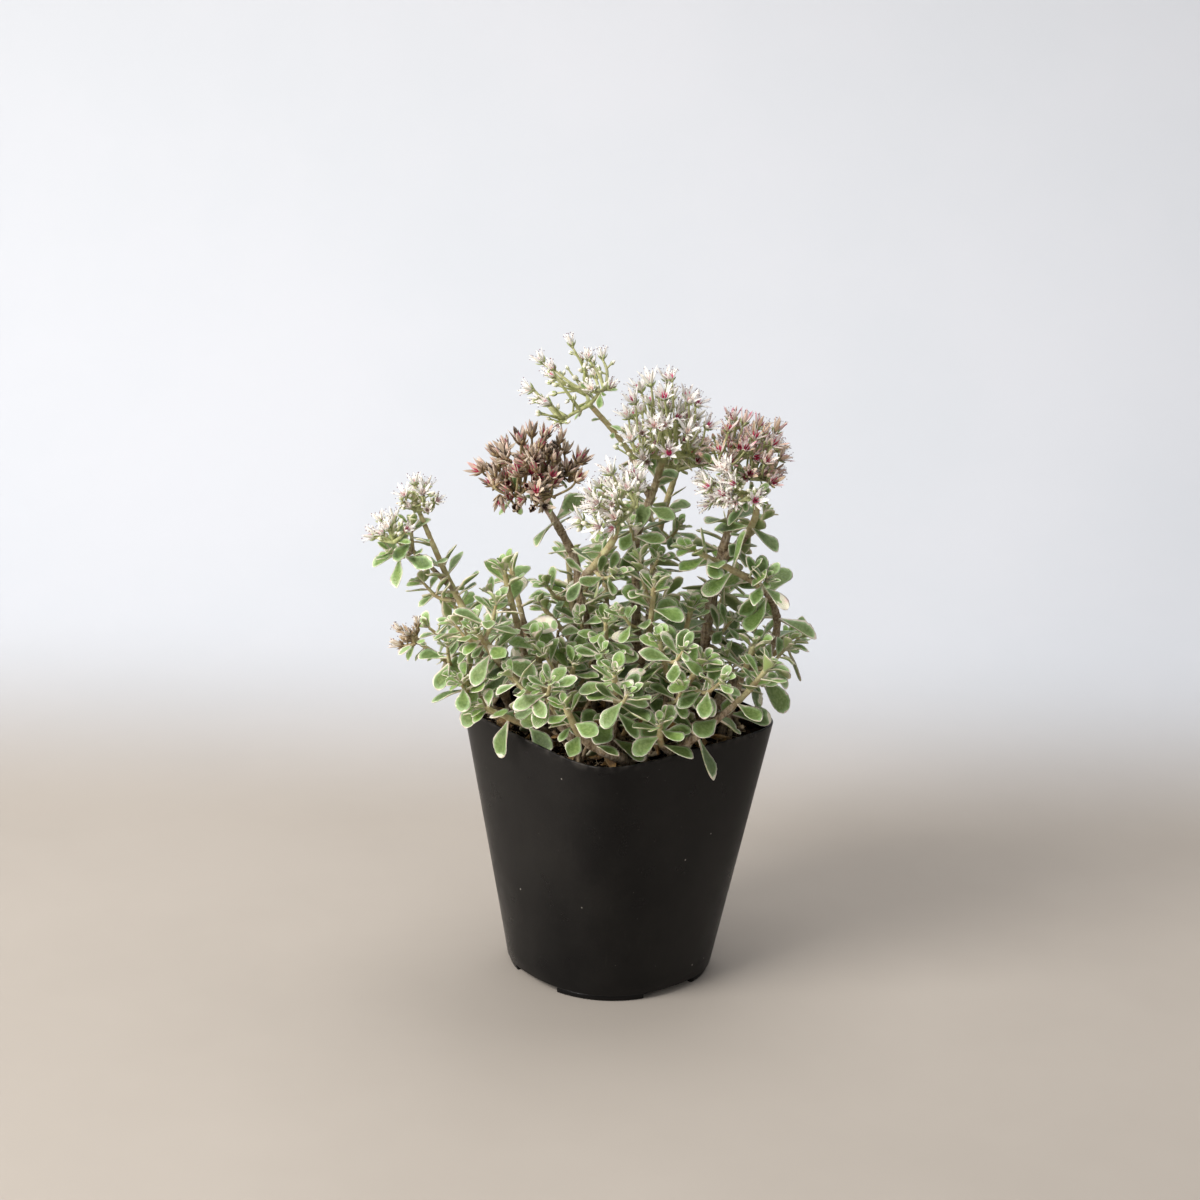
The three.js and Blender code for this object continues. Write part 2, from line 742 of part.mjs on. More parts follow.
// Pairs of leaves up a shoot, each pair square to the last, smaller and steeper towards the tip.
function leavesOf(shoot, owner, seed) {
  const draw = drawer(seed);
  const start = draw() * Math.PI;
  const leaves = [];
  for (let k = shoot.pairs - 1; k >= 0; k--) {
    const share = shoot.pairs > 1 ? k / (shoot.pairs - 1) : 0;
    const spot = shoot.from + (shoot.to - shoot.from) * (1 - (1 - share) ** CROWDING);
    const seat = alongSpine(shoot.spine, spot);
    const length = shoot.size * (1 - 0.42 * share * share);
    const lift = LOW_LIFT + (HIGH_LIFT - LOW_LIFT) * share ** 1.4 * shoot.to;
    for (const side of [0, 180]) {
      const azimuth = start + turn(k * 90 + side + (draw() - 0.5) * 34);
      const high = turn(lift + (draw() - 0.5) * 24);
      const back = LEAF_SET_BACK * (shoot.radii[0] + (shoot.radii[1] - shoot.radii[0]) * spot);
      const look = {
        back,
        roll: turn((draw() - 0.5) * 50),
        broad: 0.9 + 0.25 * draw(),
        curl: -0.26 + 0.32 * draw(),
        cup: 0.1 + 0.3 * draw(),
      };
      const long = length * (0.86 + 0.24 * draw());
      for (const scale of [1, 0.8]) {
        const aimed = ([round, up]) =>
          aimedLeaf(seat, azimuth + turn(round), high + turn(up), long * scale, look);
        const leaf = TRIES.map(aimed).find((one) => isClear(leafMarks(one, owner), SAME_SHARE));
        if (!leaf) continue;
        marks.push(...leafMarks(leaf, owner));
        leaves.push(leaf);
        break;
      }
    }
  }
  return leaves;
}

// A star flower in one closed skin: keeled petals round a raised middle, over a stalk whose end is sunk
// in the arm that carries it.
function flowerSolid(flower) {
  const [across, other] = squareTo(flower.along);
  const spot = (radius, angle, height) =>
    flower.place
      .clone()
      .addScaledVector(across, radius * Math.cos(angle + flower.turn))
      .addScaledVector(other, radius * Math.sin(angle + flower.turn))
      .addScaledVector(flower.along, height);
  const tipOut = flower.petal * Math.sin(flower.open);
  const tipUp = flower.petal * Math.cos(flower.open);
  const notchOut = NOTCH_SHARE * (tipOut + 0.3 * flower.petal);
  const notchUp = (0.45 * notchOut * tipUp) / tipOut;
  const points = [];
  const faces = [];
  for (let i = 0; i < PETALS; i++) {
    const angle = (i / PETALS) * 2 * Math.PI;
    points.push(spot(tipOut, angle, tipUp), spot(notchOut, angle + Math.PI / PETALS, notchUp));
  }
  const [middle, foot] = [points.length, points.length + 1];
  points.push(spot(0, 0, MIDDLE_UP), flower.foot);
  for (let i = 0; i < PETALS; i++) {
    const [tip, notch, before] = [2 * i, 2 * i + 1, (2 * i + 2 * PETALS - 1) % (2 * PETALS)];
    faces.push([middle, tip, notch], [middle, before, tip], [tip, before, notch], [foot, notch, before]);
  }
  return solidOf(points, faces);
}

function flowerMarks(flower, owner) {
  const [across, other] = squareTo(flower.along);
  const found = [{ place: flower.place.clone().addScaledVector(flower.along, 0.6), room: 2.1, owner }];
  for (const share of [0.3, 0.65]) {
    found.push({ place: flower.foot.clone().lerp(flower.place, share), room: 0.8, owner });
  }
  for (let i = 0; i < PETALS; i++) {
    const angle = (i / PETALS) * 2 * Math.PI + flower.turn;
    for (const share of [0.6, 1]) {
      const out = flower.petal * share * Math.sin(flower.open);
      const up = flower.petal * share * Math.cos(flower.open);
      const place = flower.place.clone().addScaledVector(across, out * Math.cos(angle));
      place.addScaledVector(other, out * Math.sin(angle)).addScaledVector(flower.along, up);
      found.push({ place, room: 1.1, owner });
    }
  }
  return found;
}

// A head's own directions: the way it faces, and the way out from its middle at an angle.
function headFrame(head) {
  const facing = new THREE.Vector3(head.facing[0], head.facing[1], 1).normalize();
  const [across, other] = squareTo(facing);
  const outwardAt = (angle) => roundBy(angle, across, other);
  return { facing, outwardAt };
}

// A short neck from the stem's end, and arms that spread from it.
function growArms(head) {
  const shoot = STEMS.find((stem) => stem.name === head.stem).shoots[head.shoot];
  const { facing, outwardAt } = headFrame(head);
  const end = alongSpine(shoot.spine, 1);
  const base = end.place.clone().addScaledVector(end.along, HEAD_GAP);
  head.fork = base.clone().addScaledVector(end.along, 2);
  const from = (out, up, angle) =>
    head.fork.clone().addScaledVector(outwardAt(angle), out).addScaledVector(facing, up);
  head.neck = { spine: spineOf([base, head.fork, from(0, 1.5, 0)]), radii: [shoot.radii[1], HUB] };
  head.branches = [];
  for (let a = 0; a < head.arms; a++) {
    const angle = (a / head.arms) * 2 * Math.PI;
    const path = [
      from(HUB * 0.7, 0, angle),
      from(head.reach * 0.4, head.rise * 0.08, angle),
      from(head.reach * 0.78, head.rise * 0.14, angle),
    ];
    head.branches.push({ spine: spineOf(path), radii: [0.9, 0.65] });
  }
}

// Flowers stand evenly over a dome above the arms, each on a stalk from the nearest arm.
function setBlooms(head, seed) {
  const draw = drawer(seed);
  const { facing, outwardAt } = headFrame(head);
  head.blooms = [];
  for (let f = 0; f < head.flowers; f++) {
    const angle = (f + 0.4) * GOLDEN_ANGLE + (draw() - 0.5) * 0.5;
    const fall = 1 - ((f + 0.5) / head.flowers) * (1 - Math.cos(DOME_ANGLE));
    const slope = Math.sqrt(1 - fall * fall);
    const outward = outwardAt(angle);
    const size = 0.92 + 0.2 * draw();
    const place = head.fork.clone().addScaledVector(outward, head.reach * slope * size);
    place.addScaledVector(facing, head.rise * fall * size);
    const arm = head.branches[Math.round((angle / (2 * Math.PI)) * head.arms) % head.arms];
    const foot = alongSpine(arm.spine, 0.2 + 0.78 * slope).place;
    const along = outward.clone().multiplyScalar(slope * 0.7).addScaledVector(facing, fall * 0.7 + 0.45);
    along.add(new THREE.Vector3(draw() - 0.5, draw() - 0.5, draw() - 0.5).multiplyScalar(0.45)).normalize();
    const open = turn(head.open + (draw() - 0.5) * 26);
    const flower = { place, along, foot, turn: draw() * 2, open, petal: head.petal * (0.85 + 0.3 * draw()) };
    const wanted = flowerMarks(flower, head.name);
    if (!isClear(wanted, BLOOM_SHARE)) continue;
    marks.push(...wanted);
    head.blooms.push(flower);
  }
}

// Shoots take their spines first, so that heads and leaves can be kept clear of every stem.
for (const stem of STEMS) {
  stem.shoots.forEach((shoot, index) => {
    const [x, y] = stem.root;
    const path = shoot.path.map(vector);
    if (index === 0) {
      const root = vector([x, y, SOIL_TOP - ROOT_DEPTH]);
      shoot.spine = spineOf([vector([x, y, SOIL_TOP + 2]), ...path], [root]);
    } else {
      shoot.spine = spineOf([alongSpine(stem.shoots[0].spine, shoot.at).place, ...path]);
    }
    marks.push(...spineMarks(shoot.spine, shoot.radii, stem.name));
  });
}

for (const head of HEADS) {
  growArms(head);
  for (const branch of head.branches) marks.push(...spineMarks(branch.spine, branch.radii, head.name));
}
HEADS.forEach((head, index) => setBlooms(head, 700 + index));

STEMS.forEach((stem, index) => {
  stem.shoots.forEach((shoot, order) => {
    shoot.leaves = leavesOf(shoot, stem.name, 100 + 10 * index + order);
  });
});

function makeStem(stem) {
  const tipped = (shoot) => (shoot.to > 0.95 ? 1.6 * shoot.radii[1] : 0);
  const solids = stem.shoots.map((shoot) => tube(shoot.spine, shoot.radii, STEM_SIDES, tipped(shoot)));
  for (const shoot of stem.shoots) solids.push(...shoot.leaves.map(leafSolid));
  return joined(solids);
}

function makeHead(head) {
  const solids = [tube(head.neck.spine, head.neck.radii, STEM_SIDES)];
  for (const branch of head.branches) solids.push(tube(branch.spine, branch.radii, ARM_SIDES, 1));
  solids.push(...head.blooms.map(flowerSolid));
  return joined(solids);
}

// A plain hole for each stem, wide enough for its foot.
function stemHole(stem) {
  const radius = (stem.shoots[0].radii[0] + SOIL_GAP) / Math.cos(Math.PI / HOLE_SIDES);
  const hole = new THREE.CylinderGeometry(radius, radius, 2 * ROOT_DEPTH, HOLE_SIDES);
  hole.rotateX(Math.PI / 2);
  return solidFrom(hole.translate(stem.root[0], stem.root[1], SOIL_TOP - SOIL_GAP));
}

const FINISHES = {
  pot: new THREE.MeshStandardMaterial({ color: 0x1b1a19, roughness: 0.45, metalness: 0 }),
  soil: new THREE.MeshStandardMaterial({ color: 0x1d150f, roughness: 0.95, metalness: 0 }),
  leaf: new THREE.MeshStandardMaterial({ color: 0x7f9c62, roughness: 0.55, metalness: 0 }),
  petal_white: new THREE.MeshStandardMaterial({ color: 0xf2e9e6, roughness: 0.6, metalness: 0 }),
  petal_pink: new THREE.MeshStandardMaterial({ color: 0xd79aa0, roughness: 0.6, metalness: 0 }),
  petal_faded: new THREE.MeshStandardMaterial({ color: 0x9a6a5c, roughness: 0.75, metalness: 0 }),
};

const plant = new THREE.Group();

function place(name, solid, finish) {
  const mesh = new THREE.Mesh(geometryOf(solid), FINISHES[finish]);
  mesh.name = name;
  plant.add(mesh);
}

place("pot", makePot(), "pot");
place("soil", makeSoil(STEMS.map(stemHole)), "soil");
for (const stem of STEMS) place(stem.name, makeStem(stem), "leaf");
for (const head of HEADS) place(head.name, makeHead(head), head.colour);

// The part's origin is under the middle of the whole plant's box, so the pot stands a little to one side.
const box = new THREE.Box3().setFromObject(plant);
plant.position.set(-(box.min.x + box.max.x) / 2, -(box.min.y + box.max.y) / 2, 0);

export default plant;
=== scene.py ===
# %% [markdown]
# # A potted tricolor sedum
# A creeping stonecrop grows here in a tapered black nursery pot. Old brown stems lie and stand in dark soil,
# young shoots end in rosettes of fleshy leaves with cream edges, and the tall stems carry heads of star
# flowers. The pot, the soil, each leafy stem and each flower head are known from the shared frame as plain
# solids. This lesson grows finer pieces over the same lines, so every large leaf and flower keeps its place.

# %% The frame
import math

import bpy
import numpy as np
from mathutils import Matrix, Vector
from mathutils.geometry import delaunay_2d_cdt


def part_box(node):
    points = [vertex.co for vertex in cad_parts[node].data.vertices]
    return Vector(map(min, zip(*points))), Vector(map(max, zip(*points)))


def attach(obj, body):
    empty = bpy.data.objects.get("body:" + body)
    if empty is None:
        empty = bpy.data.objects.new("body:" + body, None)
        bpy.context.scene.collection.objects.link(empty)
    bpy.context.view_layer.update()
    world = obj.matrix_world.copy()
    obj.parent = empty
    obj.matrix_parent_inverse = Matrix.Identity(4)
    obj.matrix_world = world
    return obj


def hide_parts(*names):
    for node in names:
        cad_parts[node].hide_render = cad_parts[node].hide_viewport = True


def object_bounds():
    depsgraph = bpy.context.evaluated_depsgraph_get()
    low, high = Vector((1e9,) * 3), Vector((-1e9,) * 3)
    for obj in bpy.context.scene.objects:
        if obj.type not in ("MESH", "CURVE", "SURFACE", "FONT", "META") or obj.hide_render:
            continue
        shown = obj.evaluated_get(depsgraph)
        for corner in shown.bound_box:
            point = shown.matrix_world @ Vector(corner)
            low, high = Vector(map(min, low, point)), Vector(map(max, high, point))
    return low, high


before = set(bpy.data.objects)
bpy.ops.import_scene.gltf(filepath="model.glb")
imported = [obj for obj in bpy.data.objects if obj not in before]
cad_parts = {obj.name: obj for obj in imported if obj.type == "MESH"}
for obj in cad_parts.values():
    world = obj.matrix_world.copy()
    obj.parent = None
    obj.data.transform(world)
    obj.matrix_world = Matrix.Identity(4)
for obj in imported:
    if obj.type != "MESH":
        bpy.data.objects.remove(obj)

PLAIN_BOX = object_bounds()
LOW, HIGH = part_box("pot")
AXIS = np.array([(LOW[0] + HIGH[0]) / 2, (LOW[1] + HIGH[1]) / 2, 0.0])
print("nodes in the frame:", len(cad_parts), "and the pot's axis stands at", AXIS[:2].round(5))

# %% [markdown]
# ## Measures
# The lesson works in millimetres from the pot's axis, and turns points into metres when a mesh is made.
# The pot is a rounded square at the rim and nearly a circle at the base, with one corner to the front.
# A power of about 2 draws a circle and a high power a square, so one formula gives both outlines.

# %% The pot's and the soil's measures
POT_TOP = 100
POT_BASE = 79.5
POT_HEIGHT = 108.5
POT_TURN = math.radians(40)
TOP_SQUARENESS = 5.7
BASE_SQUARENESS = 2.25
WALL = 1.2
FLOOR_THICK = 1.6
FOOT_HEIGHT = 2.6
FOOT_HALF_ANGLE = math.radians(26)
FOOT_INSET = 0.7
FOOT_THICK = 2.2
DRAIN_RADIUS = 5
DRAIN_RING = 20
SOIL_TOP = 102
SOIL_GAP = 0.3
SOIL_RELIEF = 0.9
ROOT_DEPTH = 8


def reach(angle, squareness):
    along = np.abs(np.cos(angle)) ** squareness + np.abs(np.sin(angle)) ** squareness
    return along ** (-1 / squareness)


def pot_radius(angle, z):
    top = POT_TOP / 2 * reach(angle, TOP_SQUARENESS)
    base = POT_BASE / 2 * reach(angle, BASE_SQUARENESS)
    return base + (top - base) * z / POT_HEIGHT


def soil_height(x, y):
    humps = np.sin(x * 0.21 + 1.3) * np.cos(y * 0.17 - 0.4) + 0.5 * np.sin(x * 0.09 - y * 0.13)
    return SOIL_TOP + SOIL_RELIEF * humps


# %% [markdown]
# ## The plan of the plant
# Each stem is a name, its root in the soil and its shoots. A shoot is where it leaves the first shoot as a
# share of its length, a path of points, its radius at both ends, its pairs of leaves, the shares of its
# length between which they sit, and the length of its largest leaf. Points were read off the plant one by
# one, since no rule would give its own leaning stems.

# %% Stems and heads
STEMS = [
    ("stem_tall_centre", (8, 8), [
        (0,
         [(6, 6, 150), (5, 8, 178), (11, 5, 200), (14, 3, 212)],
         (2.3, 1.4), 7, 0.36, 0.93, 19),
        (0.86,
         [(2, 2, 214), (-6, 0, 225), (-14, -5, 235)],
         (1.2, 1), 2, 0.4, 0.85, 10),
    ]),
    ("stem_tall_left", (-10, 0), [
        (0,
         [(-12, 0, 138), (-17, -1, 157), (-19, -1, 172), (-27, -4, 188), (-35, -6, 201)],
         (2.1, 1.4), 3, 0.74, 0.93, 19),
        (0.6,
         [(-13, -20, 174), (-5, -31, 188), (-3, -35, 199)],
         (1.7, 1.2), 2, 0.5, 0.85, 13.5),
    ]),
    ("stem_tall_right", (30, 4), [
        (0,
         [(34, 5, 138), (36, 5, 155), (39, 8, 173), (43, 7, 194), (43, 3, 207)],
         (2.3, 1.5), 6, 0.42, 0.94, 19),
        (0.66,
         [(49, 0, 186), (51, -6, 198), (44, -14, 205)],
         (1.6, 1.1), 2, 0.5, 0.85, 16),
    ]),
    ("stem_arching_right", (44, 12), [
        (0,
         [(51, 10, 116), (59, 5, 132), (62, 0, 146), (60, -6, 157), (54, -12, 167), (41, -18, 176),
          (28, -24, 184)],
         (2, 1.1), 9, 0.3, 0.98, 19),
    ]),
    ("stem_left_truss", (-14, -34), [
        (0,
         [(-28, -36, 122), (-42, -36, 135), (-52, -31, 146), (-63, -26, 161), (-73, -22, 181),
          (-79, -20, 194)],
         (2.1, 0.9), 7, 0.34, 0.82, 18),
        (0.42,
         [(-48, -44, 145), (-54, -50, 156)],
         (1.4, 1), 5, 0.4, 0.98, 15.5),
        (0.74,
         [(-78, -25, 178), (-86, -26, 184)],
         (1, 0.8), 1, 0.5, 0.5, 10),
    ]),
    ("stem_left_low", (-44, -12), [
        (0,
         [(-53, -18, 117), (-61, -26, 129)],
         (1.8, 1.2), 4, 0.45, 0.98, 16.5),
        (0.55,
         [(-63, -18, 129), (-72, -17, 136), (-78, -17, 140)],
         (1, 0.8), 1, 0.7, 0.7, 10),
    ]),
    ("stem_back_flower", (12, 26), [
        (0,
         [(12, 29, 150), (15, 31, 178), (20, 28, 200)],
         (2, 1.2), 5, 0.38, 0.9, 17),
    ]),
    ("shoot_front_centre", (-3, -38), [
        (0,
         [(-2, -43, 116), (-1, -49, 130), (-2, -58, 144)],
         (1.8, 1), 6, 0.36, 0.98, 17.5),
    ]),
    ("shoot_old_wood", (4, -45), [
        (0,
         [(-2, -51, 109), (-9, -53, 114), (-16, -55, 120), (-20, -60, 131)],
         (2.7, 1.2), 5, 0.56, 0.98, 14.5),
        (0.72,
         [(-25, -50, 127), (-29, -54, 137)],
         (1.2, 0.9), 4, 0.45, 0.98, 13.5),
    ]),
    ("shoot_front_right", (14, -29), [
        (0,
         [(18, -36, 121), (25, -39, 133), (31, -46, 146)],
         (1.8, 1), 6, 0.36, 0.98, 16.5),
        (0.5,
         [(18, -37, 138), (15, -40, 152)],
         (1.3, 0.9), 4, 0.4, 0.98, 14.5),
    ]),
    ("shoot_right_rim", (21, -39), [
        (0,
         [(34, -42, 118), (47, -40, 130), (56, -40, 142)],
         (1.9, 1), 6, 0.4, 0.98, 17),
        (0.2,
         [(17, -47, 113), (16, -56, 124)],
         (1.5, 1), 4, 0.45, 0.98, 15.5),
    ]),
    ("shoot_left_upright", (-29, -10), [
        (0,
         [(-36, -15, 128), (-39, -19, 145), (-43, -21, 160), (-46, -23, 173)],
         (1.9, 1), 6, 0.34, 0.98, 17.5),
    ]),
    ("shoot_middle", (6, -15), [
        (0,
         [(8, -19, 133), (11, -23, 150), (12, -29, 170)],
         (1.9, 1), 7, 0.4, 0.98, 17.5),
        (0.24,
         [(-1, -17, 125), (-5, -22, 139), (-6, -31, 156)],
         (1.4, 0.9), 5, 0.42, 0.98, 14.5),
    ]),
    ("shoot_bare_wood", (-2, 10), [
        (0,
         [(-7, 10, 118), (-17, 11, 131), (-31, 12, 147)],
         (1.6, 1), 3, 0.7, 0.98, 13.5),
    ]),
    ("shoot_right_back_low", (40, 20), [
        (0,
         [(46, 22, 114), (57, 25, 121), (68, 26, 131)],
         (1.7, 1), 5, 0.4, 0.98, 17),
    ]),
    ("shoot_right_side", (42, -8), [
        (0,
         [(47, -13, 124), (52, -20, 145)],
         (1.7, 1), 5, 0.36, 0.98, 18),
    ]),
    ("shoot_middle_right", (20, -6), [
        (0,
         [(23, -9, 130), (27, -15, 157)],
         (1.7, 1), 6, 0.4, 0.98, 17),
    ]),
    ("shoot_left_front", (-24, -22), [
        (0,
         [(-28, -27, 124), (-33, -35, 148)],
         (1.8, 1), 6, 0.38, 0.98, 17.5),
        (0.28,
         [(-20, -30, 124), (-18, -38, 140)],
         (1.4, 1), 4, 0.4, 0.98, 16),
        (0.2,
         [(-38, -29, 113), (-51, -36, 121)],
         (1.5, 1), 4, 0.4, 0.98, 17.5),
    ]),
    ("shoot_left_side", (-42, 2), [
        (0,
         [(-50, -3, 124), (-59, -8, 140), (-65, -12, 154)],
         (1.8, 1), 5, 0.4, 0.98, 17.5),
    ]),
    ("shoot_centre_back", (-17, 16), [
        (0,
         [(-19, 18, 140), (-22, 20, 166)],
         (1.7, 1), 5, 0.38, 0.98, 17),
    ]),
    ("shoot_back_left", (-30, 24), [
        (0,
         [(-38, 29, 130), (-45, 35, 155)],
         (1.8, 1), 5, 0.34, 0.98, 17),
        (0.26,
         [(-47, 28, 120), (-63, 31, 132)],
         (1.4, 1), 4, 0.4, 0.98, 16.5),
    ]),
    ("shoot_back_centre", (-3, 36), [
        (0,
         [(-5, 42, 130), (-8, 50, 156)],
         (1.8, 1), 5, 0.34, 0.98, 17),
        (0.24,
         [(-12, 50, 119), (-21, 60, 131)],
         (1.4, 1), 4, 0.4, 0.98, 16.5),
    ]),
    ("shoot_back_right", (29, 27), [
        (0,
         [(35, 35, 132), (40, 44, 158)],
         (1.8, 1), 5, 0.34, 0.98, 17),
        (0.3,
         [(28, 46, 122), (33, 59, 134)],
         (1.4, 1), 4, 0.45, 0.98, 16.5),
    ]),
]

# A head is its name, the stem and the shoot that bear it, the way it faces, its reach and rise, its arms and
# large flowers, how far they open in degrees, the length of a petal, and its finish.
HEADS = [
    ("head_tall_centre", "stem_tall_centre", 0, (-0.1, -0.25), 18, 29, 3, 17, 54, 7, "petal_white"),
    ("head_green_truss", "stem_tall_centre", 1, (-0.85, -0.1), 18, 22, 3, 11, 38, 5.6, "petal_white"),
    ("head_faded", "stem_tall_left", 0, (-0.1, -0.3), 20, 17, 5, 22, 26, 6.4, "petal_faded"),
    ("head_front", "stem_tall_left", 1, (-0.85, -0.3), 16, 13, 3, 10, 62, 7.2, "petal_white"),
    ("head_pink_right", "stem_tall_right", 0, (0.25, -0.2), 18, 21, 3, 18, 38, 6.6, "petal_pink"),
    ("head_white_right", "stem_tall_right", 1, (-0.35, -0.6), 13, 11, 3, 10, 58, 7.2, "petal_white"),
    ("head_left_top", "stem_left_truss", 0, (0.1, -0.1), 8, 10, 3, 7, 45, 5.6, "petal_white"),
    ("head_left_side", "stem_left_truss", 2, (-0.5, -0.1), 7, 9, 2, 5, 45, 5.6, "petal_white"),
    ("head_left_low", "stem_left_low", 1, (-0.9, -0.1), 6, 7, 2, 4, 35, 5.4, "petal_faded"),
    ("head_back", "stem_back_flower", 0, (0, 0.35), 15, 14, 3, 12, 50, 6.8, "petal_pink"),
]

print("stems:", len(STEMS), "shoots:", sum(len(shoots) for _, _, shoots in STEMS), "heads:", len(HEADS))

# %% [markdown]
# ## Growing by a rule
# Leaves of this plant sit in pairs, each pair square to the last, and crowd towards the tip. The rule below
# places them with a seeded draw. Each leaf leaves a few marks in space, and a new leaf turns aside until it
# is clear of them, which is what growing leaves do. It is the rule that the plain solids were made by, so
# it gives the same places again.

# %% Lines, directions and draws
STEM_STEP = 15
FINE_STEPS = 240
LENGTH_STEPS = 200
LEAF_RATIO = 0.5
LOW_LIFT = -14
HIGH_LIFT = 52
CROWDING = 1.6
LEAF_ROOM = 1.25
SAME_SHARE = 0.8
BLOOM_SHARE = 0.5
LEAF_SET_BACK = 0.2
HEAD_GAP = 0.3
HUB = 1.8
PETALS = 5
GOLDEN_ANGLE = math.pi * (3 - math.sqrt(5))
DOME_ANGLE = math.radians(76)
UP = np.array([0.0, 0.0, 1.0])
# Seeds of the draws, and the number that a head's marks carry where a stem's carry the stem's own.
LEAF_SEED = 100
BLOOM_SEED = 700
SPRIG_SEED = 3000
STEM_FINISH_SEED = 5000
HEAD_FINISH_SEED = 7000
CRUMB_SEED = 41
LITTER_SEED = 43
WITHERED_SEED = 47
OLD_WOOD_SEED = 51
HEAD_OWNER = 100
OLD_WOOD_OWNER = -2


def drawer(seed):
    state = [seed]

    def draw():
        state[0] = (state[0] * 1664525 + 1013904223) % 4294967296
        return state[0] / 4294967296

    return draw


def unit(v):
    return v / np.linalg.norm(v)


def curve_point(points, t):
    last = len(points) - 1
    spot = last * t
    i = int(math.floor(spot))
    w = spot - i
    if w == 0 and i == last:
        i, w = last - 1, 1.0
    p1, p2 = points[i], points[i + 1]
    p0 = points[i - 1] if i > 0 else 2 * points[0] - points[1]
    p3 = points[i + 2] if i + 2 <= last else 2 * points[last] - points[last - 1]
    t0, t1 = 0.5 * (p2 - p0), 0.5 * (p3 - p1)
    return p1 + t0 * w + (-3 * p1 + 3 * p2 - 2 * t0 - t1) * w**2 + (2 * p1 - 2 * p2 + t0 + t1) * w**3


class Spine:
    """Short straight stretches along a smooth curve, with the length run so far at each."""

    def __init__(self, points, foot=()):
        points = [np.array(p, float) for p in points]
        fine = [curve_point(points, k / FINE_STEPS) for k in range(FINE_STEPS + 1)]
        coarse = np.array([curve_point(points, k / LENGTH_STEPS) for k in range(LENGTH_STEPS + 1)])
        length = np.linalg.norm(np.diff(coarse, axis=0), axis=1).sum()
        steps = max(2, math.floor(length / STEM_STEP + 0.5))
        picked = [fine[math.floor(k / steps * FINE_STEPS + 0.5)] for k in range(steps + 1)]
        self.line = np.array([np.array(p, float) for p in foot] + picked)
        self.run = [0.0]
        for a, b in zip(self.line, self.line[1:]):
            self.run.append(self.run[-1] + float(np.linalg.norm(b - a)))
        self.length = self.run[-1]

    def at(self, share):
        want = min(max(share, 0), 1) * self.length
        i = 1
        while i < len(self.line) - 1 and self.run[i] < want:
            i += 1
        part = (want - self.run[i - 1]) / (self.run[i] - self.run[i - 1])
        start, end = self.line[i - 1], self.line[i]
        return start + (end - start) * part, unit(end - start)


def square_to(along):
    other = np.array([1.0, 0, 0]) if abs(along[0]) < 0.8 else np.array([0, 1.0, 0])
    across = unit(np.cross(along, other))
    return across, np.cross(along, across)


def turned(v, axis, angle):
    """A direction turned round an axis."""
    kept = axis * (axis @ v)
    return v * math.cos(angle) + np.cross(axis, v) * math.sin(angle) + kept * (1 - math.cos(angle))


# %% [markdown]
# The room that is already taken is a long list of marks, each a place, a radius and the stem it belongs to.
# A leaf may come closer to its own stem's leaves than to others, and it never enters the soil or the pot.

# %% Room that is taken
MARK_LIMIT = 60000


class Room:
    def __init__(self):
        self.place = np.zeros((MARK_LIMIT, 3))
        self.room = np.zeros(MARK_LIMIT)
        self.owner = np.zeros(MARK_LIMIT, int)
        self.stem = np.zeros(MARK_LIMIT, bool)
        self.count = 0

    def take(self, places, rooms, owner, stem=False):
        end = self.count + len(places)
        self.place[self.count:end] = places
        self.room[self.count:end] = rooms
        self.owner[self.count:end] = owner
        self.stem[self.count:end] = stem
        self.count = end

    def is_clear(self, places, rooms, owner, share):
        if in_pot(places).any():
            return False
        middle = places.mean(axis=0)
        span = np.abs(places - middle).max() + 5
        near = np.abs(self.place[:self.count] - middle).max(axis=1) < span
        same = self.owner[:self.count] == owner
        picked = np.nonzero(near & ~(same & self.stem[:self.count]))[0]
        gap = ((places[:, None] - self.place[picked][None]) ** 2).sum(axis=2)
        need = (np.reshape(rooms, (-1, 1)) + self.room[picked][None]) * np.where(same[picked], share, 1.0)
        return not (gap < need**2).any()


def in_pot(places):
    x, y, z = places.T
    angle = np.arctan2(y, x) - POT_TURN
    radius = np.hypot(x, y)
    wall = pot_radius(angle, np.minimum(z, POT_HEIGHT))
    inside = (radius < wall - 4) & (z < SOIL_TOP + SOIL_RELIEF + 1.5)
    rim = (radius >= wall - 4) & (radius < wall + 2.5) & (z < POT_HEIGHT + 1.8)
    return inside | rim


TAKEN = Room()

# %% [markdown]
# A leaf is kept as its root, the way out along it, the way its upper face looks, and a few shape numbers.
# `leaf_points` is the one formula of its middle sheet: narrow at the root, widest near its round end,
# curled along its length and cupped across.

# %% Leaves by the rule
MARK_SPOTS = [(s, e) for s in (0.25, 0.44, 0.63, 0.81) for e in (-0.72, 0, 0.72)]
MARK_SPOTS += [(0.97, -0.3), (0.97, 0.3)]
MARK_SHARES = np.array([s for s, _ in MARK_SPOTS])
MARK_SIDES = np.array([e for _, e in MARK_SPOTS])
TRIES = [(0, 0), (14, 0), (-14, 0), (0, 14), (0, -14), (24, 16), (-24, 16), (24, -16), (-24, -16),
         (38, 0), (-38, 0), (0, 30), (0, -30)]


def half_width(leaf, share):
    return leaf["width"] / 2 * share**1.15 * np.sqrt(np.maximum(0, 1 - share**4.5)) / 0.62


def leaf_points(leaf, share, side, lift=0.0, half=None):
    if half is None:
        half = half_width(leaf, share)
    rise = leaf["length"] * leaf["curl"] * share**2 + leaf["cup"] * half * side**2 + lift
    middle = leaf["root"] + np.multiply.outer(share * leaf["length"], leaf["out"])
    return middle + np.multiply.outer(side * half, leaf["across"]) + np.multiply.outer(rise, leaf["face"])


def leaf_marks(leaf):
    return leaf_points(leaf, MARK_SHARES, MARK_SIDES)


